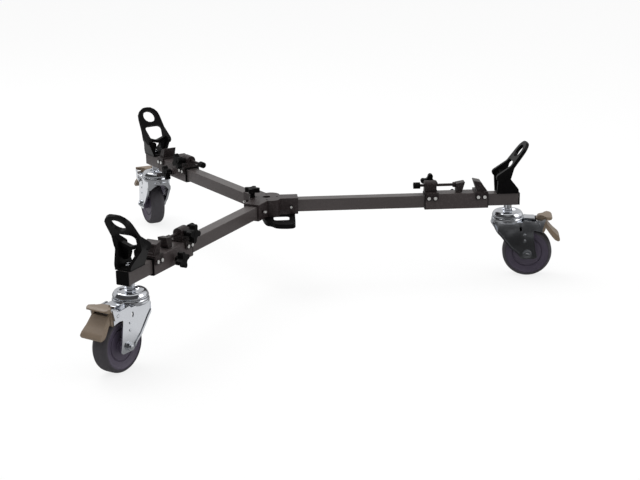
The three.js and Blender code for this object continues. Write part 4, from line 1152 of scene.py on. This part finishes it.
class DOLLY_OT_stage(bpy.types.Operator):
    """Camera at the photograph's angle, pale floor, soft lamps and a studio world"""

    bl_idname = "dolly.stage"
    bl_label = "Stage"

    # The camera's place from the hub's axis, and its lens, in millimetres
    CAMERA_PLACE = (-50.2, -2658.4, 889.5)
    CAMERA_RIGHT = (0.9979, -0.0630, -0.0139)
    CAMERA_UP = (0.0315, 0.2882, 0.9570)
    LENS = 77.02
    SENSOR = 36.0

    # The rest of the stage is in metres
    VIEW_END = 50.0
    LAMPS = [
        ("key_lamp", (-1.2, 0.9, 2.6), (0, 0, 0.1), 1.8, 38),
        ("side_lamp", (2.4, -0.8, 1.4), (0.1, 0, 0.1), 1.4, 12),
    ]
    FLOOR_REACH = 30.0
    FLOOR_COLOUR = (0.86, 0.86, 0.86, 1)
    FLOOR_ROUGHNESS = 0.9
    FLOOR_SPECULAR = 0.1
    FLOOR_WHITENESS = 0.8

    # Light on the object from above and from behind, as ranges of direction and of strength
    LIGHT_ABOVE = (0.05, 0.75, 0.0, 1.0)
    LIGHT_BEHIND = (-0.8, 0.1, 0.1, 0.9)

    # What bright metal mirrors: bright panels in a dark room, and painted reflections, which are patches (x,
    # y, radius, strength) of floor glow seen only in metal, dark or bright where a caster's fork mirrors the
    # floor
    MIRRORED_ROOM = 0.06
    MIRRORED_PANELS = [("Z", 0.7, 0.78, 0.75), ("Y", 0.2, 0.36, 0.6), ("X", 0.72, 0.8, 0.85)]
    MIRRORED_FLOOR = 0.3
    PAINTED_REFLECTION_PATCHES = [
        (0.31, -0.29, 0.26, 0.02), (-0.42, -0.82, 0.28, 0.03), (-0.15, 0.12, 0.2, 0.05),
        (-0.1, -0.36, 0.2, 0.85), (-0.62, 0.72, 0.35, 0.9),
    ]

    def camera(self):
        data = bpy.data.cameras.new("camera")
        data.lens = self.LENS
        data.sensor_width = self.SENSOR
        data.clip_end = self.VIEW_END
        camera = bpy.data.objects.new("camera", data)
        bpy.context.scene.collection.objects.link(camera)
        right = Vector(self.CAMERA_RIGHT).normalized()
        up = (Vector(self.CAMERA_UP) - right * Vector(self.CAMERA_UP).dot(right)).normalized()
        turn = Matrix((right, up, right.cross(up))).transposed().to_4x4()
        place = HUB_AXIS + Vector(self.CAMERA_PLACE) * MM
        camera.matrix_world = Matrix.Translation(place) @ turn
        bpy.context.scene.camera = camera

    def lamp(self, name, place, target, size, power):
        data = bpy.data.lights.new(name, "AREA")
        data.shape = "RECTANGLE"
        data.size = size
        data.size_y = size
        data.energy = power
        lamp = bpy.data.objects.new(name, data)
        bpy.context.scene.collection.objects.link(lamp)
        lamp.location = place
        lamp.rotation_mode = "QUATERNION"
        lamp.rotation_quaternion = (Vector(target) - Vector(place)).to_track_quat("-Z", "Y")

    def painted_floor_reflections(self, tree):
        """Strength of the floor's glow where metal mirrors it, with painted reflections: patches where the
        floor glows darker or brighter for one caster's fork.
        """
        place = tree.nodes.new("ShaderNodeTexCoord").outputs["Object"]
        # Painted reflections: each patch sets how dim or bright the floor glows in metal near one point
        level = self.MIRRORED_FLOOR
        for x, y, radius, strength in self.PAINTED_REFLECTION_PATCHES:
            away = linked(tree, "ShaderNodeVectorMath", {"operation": "DISTANCE"}, _0=place, _1=(x, y, 0))
            near = ramp(tree, away.outputs["Value"], radius / 2, radius, 1.0, 0.0, "SMOOTHSTEP")
            rest = math_node(tree, "MULTIPLY", level, math_node(tree, "SUBTRACT", 1.0, near))
            level = math_node(tree, "ADD", rest, math_node(tree, "MULTIPLY", near, strength))
        return level

    def floor(self):
        """Pale floor that keeps shadows, looks white to the camera and glows in metal with patches of painted
        reflection.
        """
        mesh = bpy.data.meshes.new("floor")
        reach = self.FLOOR_REACH
        corners = [(-reach, -reach, 0), (reach, -reach, 0), (reach, reach, 0), (-reach, reach, 0)]
        mesh.from_pydata(corners, [], [tuple(range(len(corners)))])
        floor = bpy.data.objects.new("floor", mesh)
        bpy.context.scene.collection.objects.link(floor)
        material = bpy.data.materials.new("floor_white")
        material.use_nodes = True
        tree = material.node_tree
        shader = tree.nodes["Principled BSDF"]
        shader.inputs["Base Color"].default_value = self.FLOOR_COLOUR
        shader.inputs["Roughness"].default_value = self.FLOOR_ROUGHNESS
        shader.inputs["Specular IOR Level"].default_value = self.FLOOR_SPECULAR
        rays = tree.nodes.new("ShaderNodeLightPath")
        # The floor glows with its painted reflections for glossy rays, and plain white for the camera
        shown = math_node(tree, "MAXIMUM", self.painted_floor_reflections(tree), rays.outputs["Is Camera Ray"])
        glow = linked(tree, "ShaderNodeEmission", Color=WHITE, Strength=shown)
        camera_share = math_node(tree, "MULTIPLY", rays.outputs["Is Camera Ray"], self.FLOOR_WHITENESS)
        share = math_node(tree, "MAXIMUM", camera_share, rays.outputs["Is Glossy Ray"])
        blend = linked(tree, "ShaderNodeMixShader", _0=share, _1=shader.outputs[0], _2=glow.outputs[0])
        tree.links.new(blend.outputs[0], tree.nodes["Material Output"].inputs["Surface"])
        mesh.materials.append(material)

    def world(self):
        """Soft light for dull surfaces, panels for mirroring ones and plain white for the camera."""
        world = bpy.data.worlds.new("studio")
        bpy.context.scene.world = world
        world.use_nodes = True
        tree = world.node_tree
        background = tree.nodes["Background"]
        direction = tree.nodes.new("ShaderNodeTexCoord").outputs["Generated"]
        parts = linked(tree, "ShaderNodeSeparateXYZ", Vector=direction).outputs
        above = ramp(tree, parts["Z"], *self.LIGHT_ABOVE, "SMOOTHSTEP")
        behind = ramp(tree, parts["Y"], *self.LIGHT_BEHIND, "SMOOTHSTEP")
        mirrored = self.MIRRORED_ROOM
        for axis, start, end, strength in self.MIRRORED_PANELS:
            panel = ramp(tree, parts[axis], start, end, 0.0, strength, "SMOOTHSTEP")
            mirrored = math_node(tree, "MAXIMUM", mirrored, panel)
        rays = tree.nodes.new("ShaderNodeLightPath")
        glossy = rays.outputs["Is Glossy Ray"]
        sharp = math_node(tree, "MULTIPLY", mirrored, glossy)
        light = math_node(tree, "MAXIMUM", above, behind)
        soft = math_node(tree, "MULTIPLY", light, math_node(tree, "SUBTRACT", 1.0, glossy))
        level = math_node(tree, "ADD", sharp, soft)
        shown = math_node(tree, "MAXIMUM", level, rays.outputs["Is Camera Ray"])
        tree.links.new(shown, background.inputs["Strength"])
        background.inputs["Color"].default_value = WHITE

    def execute(self, context):
        self.camera()
        self.floor()
        self.world()
        for lamp in self.LAMPS:
            self.lamp(*lamp)
        context.scene.view_settings.view_transform = "Standard"
        return {"FINISHED"}


OPERATORS = (
    DOLLY_OT_stage, DOLLY_OT_hub, DOLLY_OT_handle, DOLLY_OT_arms, DOLLY_OT_carriages, DOLLY_OT_jaws,
    DOLLY_OT_screws, DOLLY_OT_knobs, DOLLY_OT_cradles, DOLLY_OT_casters, DOLLY_OT_wheels, DOLLY_OT_pedals,
)


class DOLLY_PT_pieces(bpy.types.Panel):
    """Lists the dolly's pieces and what can be changed"""

    bl_label = "Tripod dolly"
    bl_idname = "DOLLY_PT_pieces"
    bl_space_type = "VIEW_3D"
    bl_region_type = "UI"
    bl_category = "Dolly"

    def draw(self, context):
        for group in (context.scene.dolly_sizes, context.scene.dolly_colours):
            for name in group.bl_rna.properties.keys():
                if name not in ("rna_type", "name"):
                    self.layout.prop(group, name)
        for operator in OPERATORS:
            self.layout.operator(operator.bl_idname)


CLASSES = (DollySizes, DollyColours, *OPERATORS, DOLLY_PT_pieces)


def register():
    for item in CLASSES:
        bpy.utils.register_class(item)
    bpy.types.Scene.dolly_sizes = PointerProperty(type=DollySizes)
    bpy.types.Scene.dolly_colours = PointerProperty(type=DollyColours)


def unregister():
    del bpy.types.Scene.dolly_colours
    del bpy.types.Scene.dolly_sizes
    for item in reversed(CLASSES):
        bpy.utils.unregister_class(item)


def main():
    register()
    make_finishes()
    for operator in OPERATORS:
        group, name = operator.bl_idname.split(".")
        getattr(getattr(bpy.ops, group), name)()


if __name__ == "__main__":
    main()
